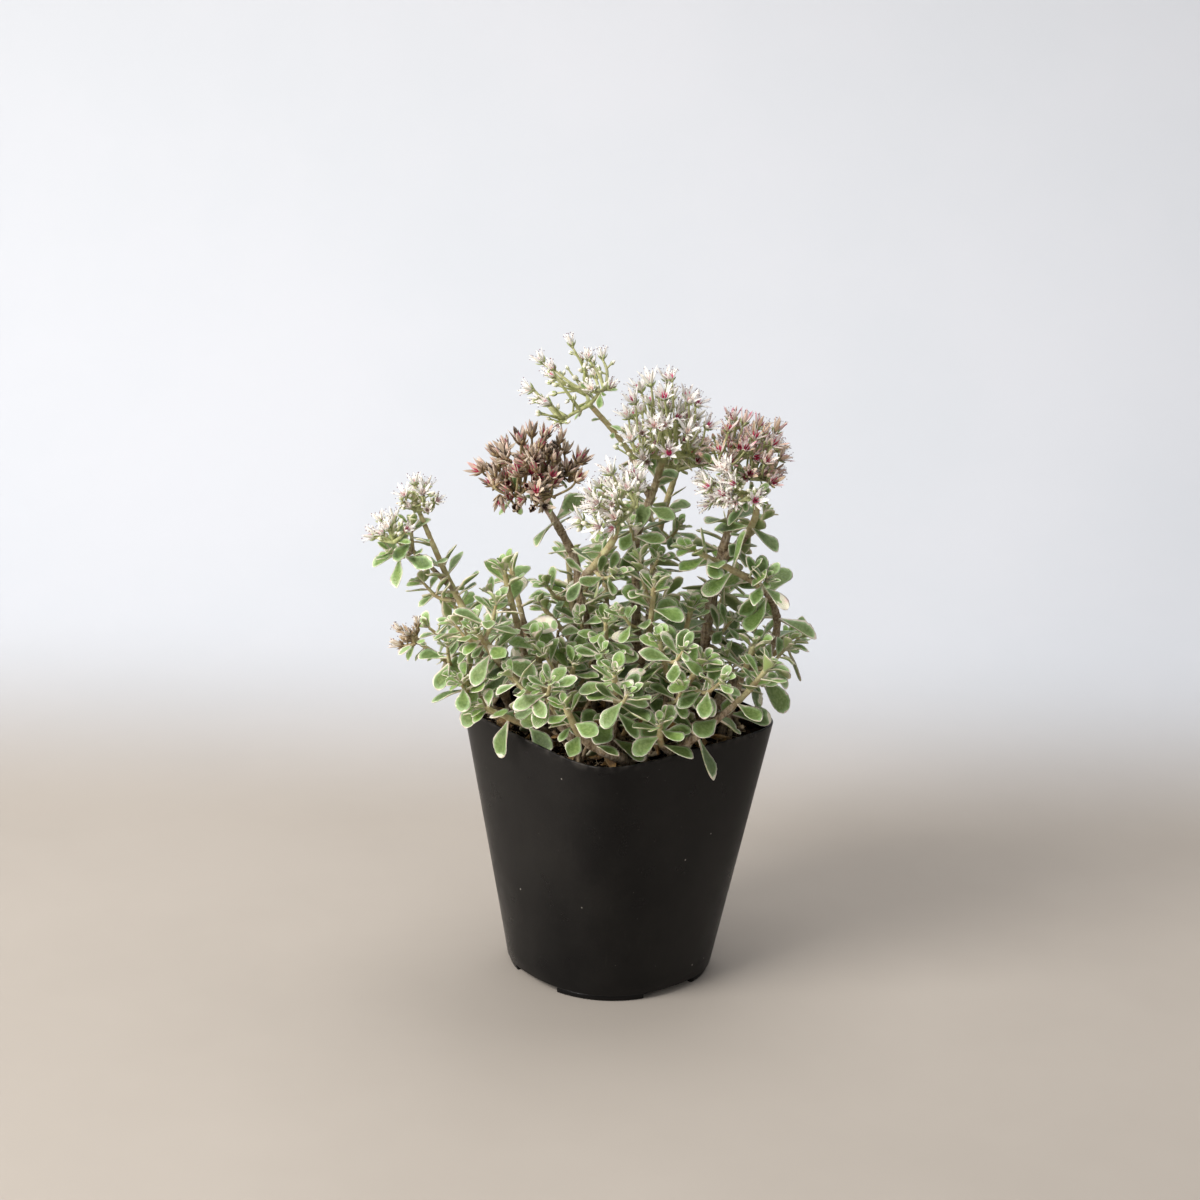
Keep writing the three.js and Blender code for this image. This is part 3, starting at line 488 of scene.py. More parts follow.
def aimed_leaf(seat, azimuth, lift, length, look):
    place, along = seat
    across, other = square_to(along)
    outward = across * math.cos(azimuth) + other * math.sin(azimuth)
    out = unit(outward * math.cos(lift) + along * math.sin(lift))
    face = along * 0.6 + UP * 0.55
    face = unit(face - out * (face @ out))
    face = turned(face, out, look["roll"])
    return {"root": place - out * look["back"], "out": out, "face": face, "across": np.cross(face, out),
            "length": length, "width": length * LEAF_RATIO * look["broad"], "curl": look["curl"],
            "cup": look["cup"], "young": 0.0}


def leaf_look(draw, back):
    roll = math.radians((draw() - 0.5) * 50)
    broad = 0.9 + 0.25 * draw()
    curl = -0.26 + 0.32 * draw()
    cup = 0.1 + 0.3 * draw()
    return {"back": back, "roll": roll, "broad": broad, "curl": curl, "cup": cup}


def first_clear(seat, azimuth, high, long, look, owner, room, share, tries, suits=None):
    for round_by, up_by in tries:
        leaf = aimed_leaf(seat, azimuth + math.radians(round_by), high + math.radians(up_by), long, look)
        marks = leaf_marks(leaf)
        if suits and not suits(leaf):
            continue
        if TAKEN.is_clear(marks, np.full(len(marks), room), owner, share):
            TAKEN.take(marks, room, owner)
            return leaf
    return None


def leaves_of(shoot, owner, seed):
    draw = drawer(seed)
    start = draw() * math.pi
    pairs, radii = shoot["pairs"], shoot["radii"]
    leaves = []
    for k in range(pairs - 1, -1, -1):
        share = k / (pairs - 1) if pairs > 1 else 0
        spot = shoot["from"] + (shoot["to"] - shoot["from"]) * (1 - (1 - share) ** CROWDING)
        seat = shoot["spine"].at(spot)
        length = shoot["size"] * (1 - 0.42 * share * share)
        lift = LOW_LIFT + (HIGH_LIFT - LOW_LIFT) * share**1.4 * shoot["to"]
        for side in (0, 180):
            azimuth = start + math.radians(k * 90 + side + (draw() - 0.5) * 34)
            high = math.radians(lift + (draw() - 0.5) * 24)
            look = leaf_look(draw, LEAF_SET_BACK * (radii[0] + (radii[1] - radii[0]) * spot))
            long = length * (0.86 + 0.24 * draw())
            for scale in (1, 0.8):
                leaf = first_clear(seat, azimuth, high, long * scale, look, owner, LEAF_ROOM, SAME_SHARE,
                                   TRIES)
                if leaf:
                    leaf["young"] = share**2 * shoot["leafy"]
                    leaf["spot"] = spot
                    leaves.append(leaf)
                    break
    return leaves


# %% [markdown]
# A flower head is a fork of a few arms with flowers spread evenly over a dome above them, each on a short
# stalk. Golden-angle steps round the dome keep the flowers apart without a grid.

# %% Heads by the rule
def spine_marks(spine, radii):
    count = math.ceil(spine.length / 2)
    shares = np.arange(count + 1) / count
    places = np.array([spine.at(s)[0] for s in shares])
    return places, radii[0] + (radii[1] - radii[0]) * shares + 0.5


def head_frame(head):
    facing = unit(np.array([head["facing"][0], head["facing"][1], 1.0]))
    across, other = square_to(facing)
    return facing, lambda angle: across * math.cos(angle) + other * math.sin(angle)


def grow_arms(head, shoot):
    facing, outward_at = head_frame(head)
    place, along = shoot["spine"].at(1)
    base = place + along * HEAD_GAP
    fork = base + along * 2
    head["fork"] = fork
    head["neck"] = Spine([base, fork, fork + facing * 1.5])
    head["neck_radii"] = (shoot["radii"][1], HUB)
    head["branches"] = []
    for a in range(head["arms"]):
        out = outward_at(a / head["arms"] * 2 * math.pi)
        path = [fork + out * HUB * 0.7]
        for far, up in ((0.4, 0.08), (0.78, 0.14)):
            path.append(fork + out * head["reach"] * far + facing * head["rise"] * up)
        head["branches"].append(Spine(path))


def nearest_arm(head, angle):
    return head["branches"][math.floor(angle / (2 * math.pi) * head["arms"] + 0.5) % head["arms"]]


def flower_way(outward, facing, slope, fall, wander, draw):
    """The way a flower looks: out and up with the dome, and a little aside."""
    along = outward * slope * 0.7 + facing * (fall * 0.7 + 0.45)
    return unit(along + np.array([draw() - 0.5, draw() - 0.5, draw() - 0.5]) * wander)


def flower_marks(flower):
    across, other = square_to(flower["along"])
    places = [flower["place"] + flower["along"] * 0.6]
    rooms = [2.1, 0.8, 0.8]
    for share in (0.3, 0.65):
        places.append(flower["foot"] + (flower["place"] - flower["foot"]) * share)
    for i in range(PETALS):
        angle = i / PETALS * 2 * math.pi + flower["turn"]
        for share in (0.6, 1):
            out = flower["petal"] * share * math.sin(flower["open"])
            up = flower["petal"] * share * math.cos(flower["open"])
            side = across * math.cos(angle) + other * math.sin(angle)
            places.append(flower["place"] + side * out + flower["along"] * up)
            rooms.append(1.1)
    return np.array(places), np.array(rooms)


def set_blooms(head, owner, seed):
    draw = drawer(seed)
    facing, outward_at = head_frame(head)
    head["blooms"] = []
    for f in range(head["flowers"]):
        angle = (f + 0.4) * GOLDEN_ANGLE + (draw() - 0.5) * 0.5
        fall = 1 - (f + 0.5) / head["flowers"] * (1 - math.cos(DOME_ANGLE))
        slope = math.sqrt(1 - fall * fall)
        outward = outward_at(angle)
        size = 0.92 + 0.2 * draw()
        place = head["fork"] + outward * head["reach"] * slope * size + facing * head["rise"] * fall * size
        foot = nearest_arm(head, angle).at(0.2 + 0.78 * slope)[0]
        along = flower_way(outward, facing, slope, fall, 0.45, draw)
        opened = math.radians(head["open"] + (draw() - 0.5) * 26)
        flower = {"place": place, "along": along, "foot": foot, "turn": draw() * 2, "open": opened,
                  "petal": head["petal"] * (0.85 + 0.3 * draw())}
        places, rooms = flower_marks(flower)
        if TAKEN.is_clear(places, rooms, owner, BLOOM_SHARE):
            TAKEN.take(places, rooms, owner)
            head["blooms"].append(flower)


# %% The plant in lines
plants = []
for number, (name, root, shoots) in enumerate(STEMS):
    grown = []
    for order, (at, path, radii, pairs, start, end, size) in enumerate(shoots):
        if order == 0:
            foot = [(root[0], root[1], SOIL_TOP - ROOT_DEPTH)]
            spine = Spine([(root[0], root[1], SOIL_TOP + 2)] + path, foot)
        else:
            spine = Spine([grown[0]["spine"].at(at)[0]] + path)
        grown.append({"spine": spine, "radii": radii, "pairs": pairs, "from": start, "to": end,
                      "size": size, "leafy": float(end > 0.95)})
        TAKEN.take(*spine_marks(spine, radii), number, stem=True)
    plants.append({"name": name, "shoots": grown})

heads = []
for number, (name, stem, shoot, *rest) in enumerate(HEADS):
    head = dict(zip(("facing", "reach", "rise", "arms", "flowers", "open", "petal", "colour"), rest))
    head["name"] = name
    bearer = next(plant for plant in plants if plant["name"] == stem)
    grow_arms(head, bearer["shoots"][shoot])
    for branch in head["branches"]:
        TAKEN.take(*spine_marks(branch, (0.9, 0.65)), HEAD_OWNER + number, stem=True)
    heads.append(head)
for number, head in enumerate(heads):
    set_blooms(head, HEAD_OWNER + number, BLOOM_SEED + number)
for number, plant in enumerate(plants):
    for order, shoot in enumerate(plant["shoots"]):
        shoot["leaves"] = leaves_of(shoot, number, LEAF_SEED + 10 * number + order)
print("large leaves:", sum(len(shoot["leaves"]) for plant in plants for shoot in plant["shoots"]))
print("flowers:", sum(len(head["blooms"]) for head in heads))

# %% [markdown]
# ## Small leaves and side sprigs
# The plain solids carry the large leaves only. A real plant also has a tight rosette at the end of each
# shoot and many short side sprigs, which fill it between soil and heads. They grow here by the same leaf
# formula, after the large leaves, and only where there is room.

# %% Rosettes and sprigs
ROSETTE_STEPS = [(0.5, 54), (0.4, 63), (0.29, 71), (0.18, 79)]
SMALL_ROOM = 1.0
SMALL_SHARE = 0.5
SPRIG_TRIES = 4
FILL_TRIES = 6
SLIM = 0.84
SPRIG_LENGTH = 15
SPRIG_LEAF = 14.5
# Small leaves keep off the pot's wall: the lowest height of each kind, towards the front and elsewhere.
TIP_FROM = (119, 112)
SPRIG_FROM = (122, 112)
FILL_FROM = (118, 110)
SPRIG_UP_TO = 184
OPEN_SOIL = 30
BOX_LOW = (np.array(PLAIN_BOX[0]) - AXIS) * 1000 - 1.0
BOX_HIGH = (np.array(PLAIN_BOX[1]) - AXIS) * 1000 + 1.0
# Thick old stems and cut stubs near the soil: points along each, and its radius at both ends.
OLD_WOOD = [
    ([(-38, 10, 114), (-25.8, -7, 110), (-13.5, -22, 108), (-2, -33, 107), (7, -41, 105.5)], (1.9, 2.5)),
    ([(6, -41, 104), (13.7, -29, 107.3), (19, -14, 108), (20, -4, 112)], (2.1, 1.6)),
    ([(-47, 5, 102), (-53, 6, 108), (-58, 7, 113), (-63, 8, 119)], (2.2, 1.9)),
    ([(-53, 4, 106.5), (-40.7, -12, 107.4), (-27.4, -20, 106)], (1.4, 1.7)),
    ([(-2, -28, 103), (-2.5, -21, 110), (-3.7, -9, 120)], (1.0, 0.8)),
    ([(-15.4, -40.5, 102), (-16.7, -40.3, 108), (-18, -38.8, 113)], (1.5, 1.2)),
    ([(28, -15, 102), (36, -12, 112), (41, -10, 120), (46, -8, 127)], (2.5, 1.7)),
    ([(24, -26, 102), (29, -27, 108), (33, -29, 112)], (1.7, 1.4)),
    ([(-30, -8, 102), (-34, -12, 110), (-36, -10, 118)], (1.8, 1.3)),
    ([(-14, 20, 102), (-20, 26, 110), (-24, 33, 117)], (2.0, 1.5)),
    ([(22, 30, 102), (30, 34, 109), (39, 35, 115)], (2.1, 1.5)),
    ([(0, 38, 103), (-8, 42, 108), (-20, 41, 109)], (1.9, 1.6)),
]


def within_form(leaf):
    """Whether a small leaf stays in the plain box and off the pot's front wall."""
    tip = leaf["root"] + leaf["out"] * leaf["length"]
    if (tip < BOX_LOW).any() or (tip > BOX_HIGH).any():
        return False
    low = TIP_FROM[0] if tip[1] < 8 else TIP_FROM[1]
    return tip[2] > low or math.hypot(tip[0], tip[1]) < OPEN_SOIL


def grow_rosette(spine, radius, size, owner, draw):
    place, along = spine.at(1)
    found = []
    start = draw() * math.pi
    for step, (share, lift) in enumerate(ROSETTE_STEPS):
        for side in (0, 180):
            azimuth = start + math.radians(step * 90 + side + (draw() - 0.5) * 24)
            look = leaf_look(draw, 0.1)
            look["roll"] *= 0.4
            look["cup"] += 0.25
            seat = (place + along * radius * (0.3 + 0.45 * step), along)
            long = size * share * (0.85 + 0.3 * draw())
            high = math.radians(lift + (draw() - 0.5) * 14)
            leaf = aimed_leaf(seat, azimuth, high, long, look)
            marks = leaf_marks(leaf)
            if within_form(leaf) and TAKEN.is_clear(marks, np.full(len(marks), 0.5), owner, 0.0):
                TAKEN.take(marks, 0.5, owner)
                leaf["young"] = 0.55 + 0.13 * step
                found.append(leaf)
    return found


def grow_sprig(shoot, owner, draw):
    share = 0.08 + 0.84 * draw()
    place, along = shoot["spine"].at(share)
    azimuth = draw() * 2 * math.pi
    lean = 0.15 + 0.6 * draw()
    long = SPRIG_LENGTH * (0.6 + 0.7 * draw())
    grown = SPRIG_LEAF * (0.75 + 0.4 * draw())
    lowest = SPRIG_FROM[0] if place[1] < -10 else SPRIG_FROM[1]
    if place[2] < lowest or place[2] > SPRIG_UP_TO:
        return None
    across, other = square_to(along)
    away = np.array([place[0], place[1], 0.0]) / 60
    heading = unit(across * math.cos(azimuth) + other * math.sin(azimuth) + UP * lean + away * 0.5)
    bend = unit(heading * 0.7 + UP * 0.6)
    spine = Spine([place, place + heading * long * 0.5, place + (heading + bend) * long * 0.5])
    places, rooms = spine_marks(spine, (0.9, 0.6))
    free = places[len(places) // 2:]
    if not TAKEN.is_clear(free, rooms[:len(free)] + 0.6, owner, 0.5):
        return None
    sprig = {"spine": spine, "radii": (0.95, 0.6), "leafy": 1.0}
    leaves = []
    start = draw() * math.pi
    for k in range(3, -1, -1):
        part = k / 3
        seat = spine.at(0.42 + 0.56 * part)
        for side in (0, 180):
            turn = start + math.radians(k * 90 + side + (draw() - 0.5) * 40)
            high = math.radians(-8 + 56 * part + (draw() - 0.5) * 24)
            look = leaf_look(draw, 0.2)
            look["broad"] *= SLIM
            length = grown * (1 - 0.4 * part * part) * (0.85 + 0.25 * draw())
            leaf = first_clear(seat, turn, high, length, look, owner, SMALL_ROOM, SMALL_SHARE, TRIES[:9],
                               within_form)
            if leaf:
                leaf["young"] = 0.25 * part
                leaves.append(leaf)
    if len(leaves) < 4:
        return None
    TAKEN.take(places, rooms, owner, stem=True)
    sprig["leaves"] = leaves + grow_rosette(spine, 0.6, grown * 0.9, owner, draw)
    return sprig


def fill_between(shoot, owner, draw, count):
    found = []
    for _ in range(count):
        share = 0.12 + 0.84 * draw()
        seat = shoot["spine"].at(share)
        azimuth = draw() * 2 * math.pi
        high = math.radians(-20 + 50 * draw())
        look = leaf_look(draw, 0.3)
        look["broad"] *= SLIM
        length = shoot["size"] * (0.5 + 0.4 * draw())
        if seat[0][2] < (FILL_FROM[0] if seat[0][1] < -12 else FILL_FROM[1]):
            continue
        leaf = first_clear(seat, azimuth, high, length, look, owner, SMALL_ROOM, SMALL_SHARE, TRIES[:7],
                           within_form)
        if leaf:
            leaf["young"] = 0.0
            found.append(leaf)
    return found


old_stems = []
for points, radii in OLD_WOOD:
    old_stems.append({"spine": Spine(points), "radii": radii, "leaves": [], "leafy": 0.0})
for old in old_stems:
    TAKEN.take(*spine_marks(old["spine"], old["radii"]), OLD_WOOD_OWNER, stem=True)
print("old stems and stubs:", len(old_stems))

for number, plant in enumerate(plants):
    draw = drawer(SPRIG_SEED + number)
    plant["sprigs"] = []
    for shoot in plant["shoots"]:
        if shoot["leafy"]:
            shoot["leaves"] += grow_rosette(shoot["spine"], shoot["radii"][1], shoot["size"], number, draw)
        for _ in range(SPRIG_TRIES):
            sprig = grow_sprig(shoot, number, draw)
            if sprig:
                plant["sprigs"].append(sprig)
    for shoot in plant["shoots"]:
        shoot["leaves"] += fill_between(shoot, number, draw, FILL_TRIES)
print("sprigs:", sum(len(plant["sprigs"]) for plant in plants))
leafy = [shoot for plant in plants for shoot in plant["shoots"] + plant["sprigs"]]
print("all leaves:", sum(len(shoot["leaves"]) for shoot in leafy))

# %% [markdown]
# ## From lines to skins
# Every part of the plant is lofted: rings of points follow a line, and faces join each ring to the next.
# Leaves, petals, stamens and stems differ only in their rings. A skin gathers many such parts and becomes
# one mesh. Each point also carries notes for the finishes, such as how far it is from the leaf's edge.

# %% Skins
class Skin:
    def __init__(self):
        self.points, self.notes, self.life, self.chart = [], [], [], []
        self.faces, self.kinds = [], []
        self.count = 0

    def loft(self, rings, notes, life=(0, 0, 0, 0), chart=None, kind=0, tip=None, shut=True):
        rows, sides = rings.shape[:2]
        here = np.arange(rows * sides).reshape(rows, sides) + self.count
        after = np.roll(here, -1, axis=1)
        faces = np.stack([here[:-1], after[:-1], after[1:], here[1:]], axis=-1).reshape(-1, 4).tolist()
        notes = np.broadcast_to(notes, (rows, sides, 4)).reshape(-1, 4)
        life = np.broadcast_to(life, (rows, sides, 4)).reshape(-1, 4)
        chart = np.zeros((rows * sides, 2)) if chart is None else chart.reshape(-1, 2)
        points = rings.reshape(-1, 3)
        if shut:
            end = rings[-1].mean(axis=0) if tip is None else tip
            points = np.vstack([points, rings[0].mean(axis=0), end])
            first, last = slice(0, sides), slice((rows - 1) * sides, rows * sides)
            notes = np.vstack([notes, notes[first].mean(axis=0), notes[last].mean(axis=0)])
            life = np.vstack([life, life[first].mean(axis=0), life[last].mean(axis=0)])
            chart = np.vstack([chart, chart[first].mean(axis=0), chart[last].mean(axis=0)])
            low, high = self.count + rows * sides, self.count + rows * sides + 1
            faces += [[low, b, a] for a, b in zip(here[0].tolist(), after[0].tolist())]
            faces += [[high, a, b] for a, b in zip(here[-1].tolist(), after[-1].tolist())]
        self.add(points, faces, notes, life, chart, kind)

    def add(self, points, faces, notes, life, chart, kind):
        self.points.append(points)
        self.notes.append(notes)
        self.life.append(life)
        self.chart.append(chart)
        self.faces += faces
        self.kinds += [kind] * len(faces)
        self.count += len(points)

    def triangles(self):
        return sum(len(face) - 2 for face in self.faces)


def make_piece(name, skin, materials, slot, *nodes):
    """A skin as a named mesh that rides on the body and stands for the given plain solids."""
    mesh = bpy.data.meshes.new(name)
    points = np.concatenate(skin.points) * 0.001 + AXIS
    mesh.from_pydata(points.tolist(), [], skin.faces)
    for label, values in (("notes", skin.notes), ("life", skin.life)):
        layer = mesh.color_attributes.new(name=label, type="FLOAT_COLOR", domain="POINT")
        layer.data.foreach_set("color", np.concatenate(values).ravel())
    chart = np.concatenate(skin.chart)
    corners = np.empty(len(mesh.loops), int)
    mesh.loops.foreach_get("vertex_index", corners)
    mesh.uv_layers.new(name="UVMap").data.foreach_set("uv", chart[corners].ravel())
    mesh.polygons.foreach_set("use_smooth", np.ones(len(skin.faces), bool))
    mesh.polygons.foreach_set("material_index", np.array(skin.kinds))
    for material in materials:
        mesh.materials.append(material)
    mesh.update()
    made = bpy.data.objects.new(name, mesh)
    bpy.context.scene.collection.objects.link(made)
    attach(made, "root")
    if nodes:
        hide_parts(*nodes)
    return made


def hashed(x, y, z):
    h = np.sin(x * 127.1 + y * 311.7 + z * 74.7) * 43758.5453
    return h - np.floor(h)


def soft_noise(points):
    cell = np.floor(points)
    part = points - cell
    part = part * part * (3 - 2 * part)
    total = 0
    for dx in (0, 1):
        for dy in (0, 1):
            for dz in (0, 1):
                weight = 1
                for axis, step in enumerate((dx, dy, dz)):
                    weight = weight * (part[..., axis] if step else 1 - part[..., axis])
                total = total + weight * hashed(cell[..., 0] + dx, cell[..., 1] + dy, cell[..., 2] + dz)
    return total


def tube_rings(line, radii, sides):
    """Rings round a line without twist, with one radius for each point, or for each point and side."""
    ahead = np.vstack([line[1:], 2 * line[-1] - line[-2]])
    behind = np.vstack([2 * line[0] - line[1], line[:-1]])
    across = square_to(unit(ahead[0] - behind[0]))[0]
    angles = np.arange(sides) / sides * 2 * math.pi
    radii = np.broadcast_to(np.reshape(radii, (len(line), -1)), (len(line), sides))
    rings = []
    for place, a, b, radius in zip(line, ahead, behind, radii):
        along = unit(a - b)
        across = unit(across - along * (across @ along))
        other = np.cross(along, across)
        ring = np.multiply.outer(np.cos(angles), across) + np.multiply.outer(np.sin(angles), other)
        rings.append(place + ring * radius[:, None])
    return np.array(rings)


def smooth_line(points, step):
    points = [np.array(p, float) for p in points]
    length = sum(np.linalg.norm(b - a) for a, b in zip(points, points[1:]))
    count = max(2, round(length / step))
    return np.array([curve_point(points, k / count) for k in range(count + 1)])


# %% [markdown]
# ## Leaves
# A sedum leaf is a fleshy spatula: a flat or slightly hollow upper face, a rounded back, a soft edge and a
# stalk-like foot. Its end is cut into shallow scallops. The blade follows the plain solid's own sheet and
# adds thickness, scallops, a waved edge and the notes that its finish needs.

# %% Blades
FINE_ROWS = 18
PLAIN_ROWS = 8
HALF_RING = 4
FINE_FROM = 9
EDGE_SPAN = 8
CHART_SPAN = 30


def blade(skin, leaf, draw, kind, fine):
    """One leaf, as rings from its foot to its tip that are flat above and round below."""
    rows, half_ring = FINE_ROWS if fine else PLAIN_ROWS, HALF_RING
    length, width = leaf["length"], leaf["width"]
    t = np.arange(rows) / rows
    share = 1 - (1 - t) ** 1.45
    turn = np.arange(2 * half_ring) * math.pi / half_ring
    side = np.cos(turn)[None, :]
    above = np.sin(turn)[None, :]
    point = 0.1 + 0.55 * draw()
    half = half_width(leaf, share) * (1 + 0.16 * np.sin(math.pi * share))
    half = half * (1 - point * np.clip((share - 0.6) / 0.4, 0, 1) ** 1.6)
    foot = 0.06 * width * np.sqrt(1 - share)
    half = ((half**3 + foot**3) ** (1 / 3))[:, None]
    share = share[:, None]
    teeth = 3.6 + 2 * draw()
    depth = (0.07 + 0.1 * draw()) * (1 if length > FINE_FROM else 0.4)
    shift = np.where(side > 0, draw(), draw())
    scallop = np.abs(np.sin(math.pi * (share * teeth * 2 + shift))) ** 0.7 - 0.62
    scallop = scallop * np.clip((share - 0.42) / 0.25, 0, 1) * np.abs(side) ** 3
    reach_out = half * (1 + depth * scallop)
    scale = length / 16
    rounded = np.sqrt(np.clip((1 - share) / 0.1, 0, 1)) * np.clip(share / 0.1 + 0.35, 0, 1)
    plump = np.sqrt(np.abs(above)) * rounded
    top = plump * (0.32 - 0.3 * np.clip(share * 2, 0, 1) * (1 - side**2)) * scale
    thick = (0.62 + 0.3 * draw()) * (1 - 0.35 * share)
    low = -plump * np.maximum(thick, 0.3) * scale
    wave_phase, wave_size, twist = draw() * 6, 0.15 + 0.4 * draw(), (draw() - 0.5) * 0.5
    wave = wave_size * scale * side**2 * np.sin(share * 8 + wave_phase) * np.clip(share * 1.5, 0, 1)
    wave = wave + twist * side * half * share
    lift = np.where(above > 1e-6, top, np.where(above < -1e-6, low, 0.0)) + wave
    rings = leaf_points(leaf, share, side, lift, reach_out)
    tip = leaf_points(leaf, np.array([1.0]), np.array([0.0]), np.array([0.0]), np.array([0.0]))[0]
    rim = np.minimum(half * (1 - np.abs(side)), (1 - share) * length * 0.8)
    notes = np.zeros((rows, 2 * half_ring, 4))
    notes[..., 0] = np.clip(rim / EDGE_SPAN, 0, 1)
    notes[..., 1] = share
    notes[..., 2] = draw()
    notes[..., 3] = np.broadcast_to(0.5 + 0.5 * np.sign(np.round(above, 6)), notes.shape[:2])
    chart = np.zeros((rows, 2 * half_ring, 2))
    chart[..., 0] = 0.5 + side * half / CHART_SPAN
    chart[..., 1] = share * length / CHART_SPAN
    skin.loft(rings, notes, (leaf["young"], length / 24, leaf.get("dead", 0.0), 1), chart, kind, tip)


# %% [markdown]
# ## Wood
# The stems are old wood below, brown and knobbly with a ring-shaped scar wherever a leaf has dropped, and
# turn smooth, then green, towards their ends. Rings swell at each scar and soft noise makes them uneven.

# %% Stems
RING_STEP = 1.1
STEM_SIDES = 12
SPRIG_SIDES = 6
OLD_SIDES = 20
SPRIG_FRESH_FROM = 0.2
NEVER_FRESH = 2.0


def wood(skin, shoot, draw, sides, fresh):
    spine = shoot["spine"]
    line = smooth_line(spine.line, RING_STEP)
    run = np.concatenate([[0], np.cumsum(np.linalg.norm(np.diff(line, axis=0), axis=1))])
    share = run / run[-1]
    radius = shoot["radii"][0] + (shoot["radii"][1] - shoot["radii"][0]) * share
    scars = [leaf["spot"] * run[-1] for leaf in shoot["leaves"] if "spot" in leaf]
    spot = 3 + 3 * draw()
    while spot < run[-1] - 3:
        scars.append(spot)
        spot += 2.2 + 3.4 * draw()
    scars = np.array(scars if scars else [-9.0])
    near = np.exp(-(((run[:, None] - scars[None]) / 0.55) ** 2)).max(axis=1)
    age = np.clip((fresh - share) / 0.3 + 0.5, 0, 1)
    seed = draw()
    lumps = soft_noise(line * 0.35 + seed * 40)
    angles = np.arange(sides) / sides * 2 * math.pi

    def noise_round_it(across, lengthwise, shift):
        spots = (np.cos(angles)[None] * across, np.sin(angles)[None] * across,
                 run[:, None] * lengthwise + seed * shift)
        return soft_noise(np.stack(np.broadcast_arrays(*spots), axis=-1))

    ridge = noise_round_it(1.7, 0.16, 50)
    fibre = noise_round_it(4.5, 0.35, 70)
    swell = 1 + 0.1 * near + 0.2 * (lumps - 0.5)
    rough = 1 + (0.08 + 0.34 * age[:, None]) * (ridge - 0.5) + 0.22 * age[:, None] * (fibre - 0.5)
    radii = (radius * swell)[:, None] * rough
    rings = tube_rings(line, radii, sides)
    notes = np.zeros((len(line), sides, 4))
    notes[..., 0] = age[:, None]
    notes[..., 3] = near[:, None]
    chart = np.stack(np.broadcast_arrays(angles[None] / (2 * math.pi), (run / 40)[:, None]), axis=-1)
    along = unit(line[-1] - line[-2])
    point = 1.6 if shoot["leafy"] else 0.25
    skin.loft(rings, notes, (0, 0, 0, 1), chart, 0, line[-1] + along * point * shoot["radii"][1])


# %% [markdown]
# ## Flowers
# Each flower is a small star: five narrow petals, keeled below, ten thin stamens with dark dots at their
# ends, five pointed carpels in the middle and five green sepals under it, on a fleshy stalk. The faded
# flowers are dry and brown and have lost their stamens, and their petals stand round long red carpels.

# %% Flower parts
def thin_blade(skin, root, out, face, length, width, bend, seed, kind, rows, keel=0.35, blunt=0.0):
    """A narrow pointed blade that bends towards its face."""
    across = np.cross(face, out)
    share = (np.arange(rows) / rows)[:, None]
    spread = np.sin(math.pi * np.clip(0.1 + 0.88 * share**0.85, 0, 1)) ** (0.8 - blunt)
    turn = np.arange(6) * math.pi / 3
    side, above = np.cos(turn)[None], np.sin(turn)[None]
    half = width / 2 * spread
    lift = np.where(above > 0, 0.05, -keel) * np.abs(above) * half - 0.12 * half * (1 - side**2)
    lift = lift + bend * length * share**2 + 0.25 * half * side**2
    rings = root + np.multiply.outer(share * length + 0 * side, out)
    rings = rings + np.multiply.outer(half * side, across) + np.multiply.outer(lift, face)
    notes = np.zeros((rows, 6, 4))
    notes[..., 0] = share
    notes[..., 1] = side
    notes[..., 2] = seed
    notes[..., 3] = np.broadcast_to(0.5 + 0.5 * np.sign(np.round(above, 6)), (rows, 6))
    tip = root + out * length + face * bend * length
    skin.loft(rings, notes, (0, 0, 0, 1), None, kind, tip)


def tube(skin, line, radii, sides, share, seed, kind, tip=None):
    notes = np.zeros((len(line), sides, 4))
    notes[..., 0] = share[:, None]
    notes[..., 2] = seed
    skin.loft(tube_rings(line, radii, sides), notes, (0, 0, 0, 1), None, kind, tip)


def thread(skin, points, radii, seed, kind, sides=3, step=2.6):
    """A smooth thin stalk through the points, with its radius at both ends."""
    line = smooth_line(points, step)
    share = np.linspace(0, 1, len(line))
    tube(skin, line, radii[0] + (radii[1] - radii[0]) * share, sides, share, seed, kind)


def bead(skin, place, along, length, radius, seed, kind, sides=4):
    """A small oval body, such as an anther or a bud. With four sides it has only two rings."""
    share = np.array([0.08, 0.3, 0.6, 0.88]) if sides > 4 else np.array([0.2, 0.75])
    line = place + np.multiply.outer((share - 0.5) * length, along)
    round_off = radius * np.sqrt(np.maximum(0.02, 1 - (2 * share - 1) ** 2))
    tube(skin, line, round_off, sides, share, seed, kind, place + along * length * 0.5)


PETAL, FILAMENT, ANTHER, CARPEL = range(4)
STALK, SEPAL, BRACT = range(3)


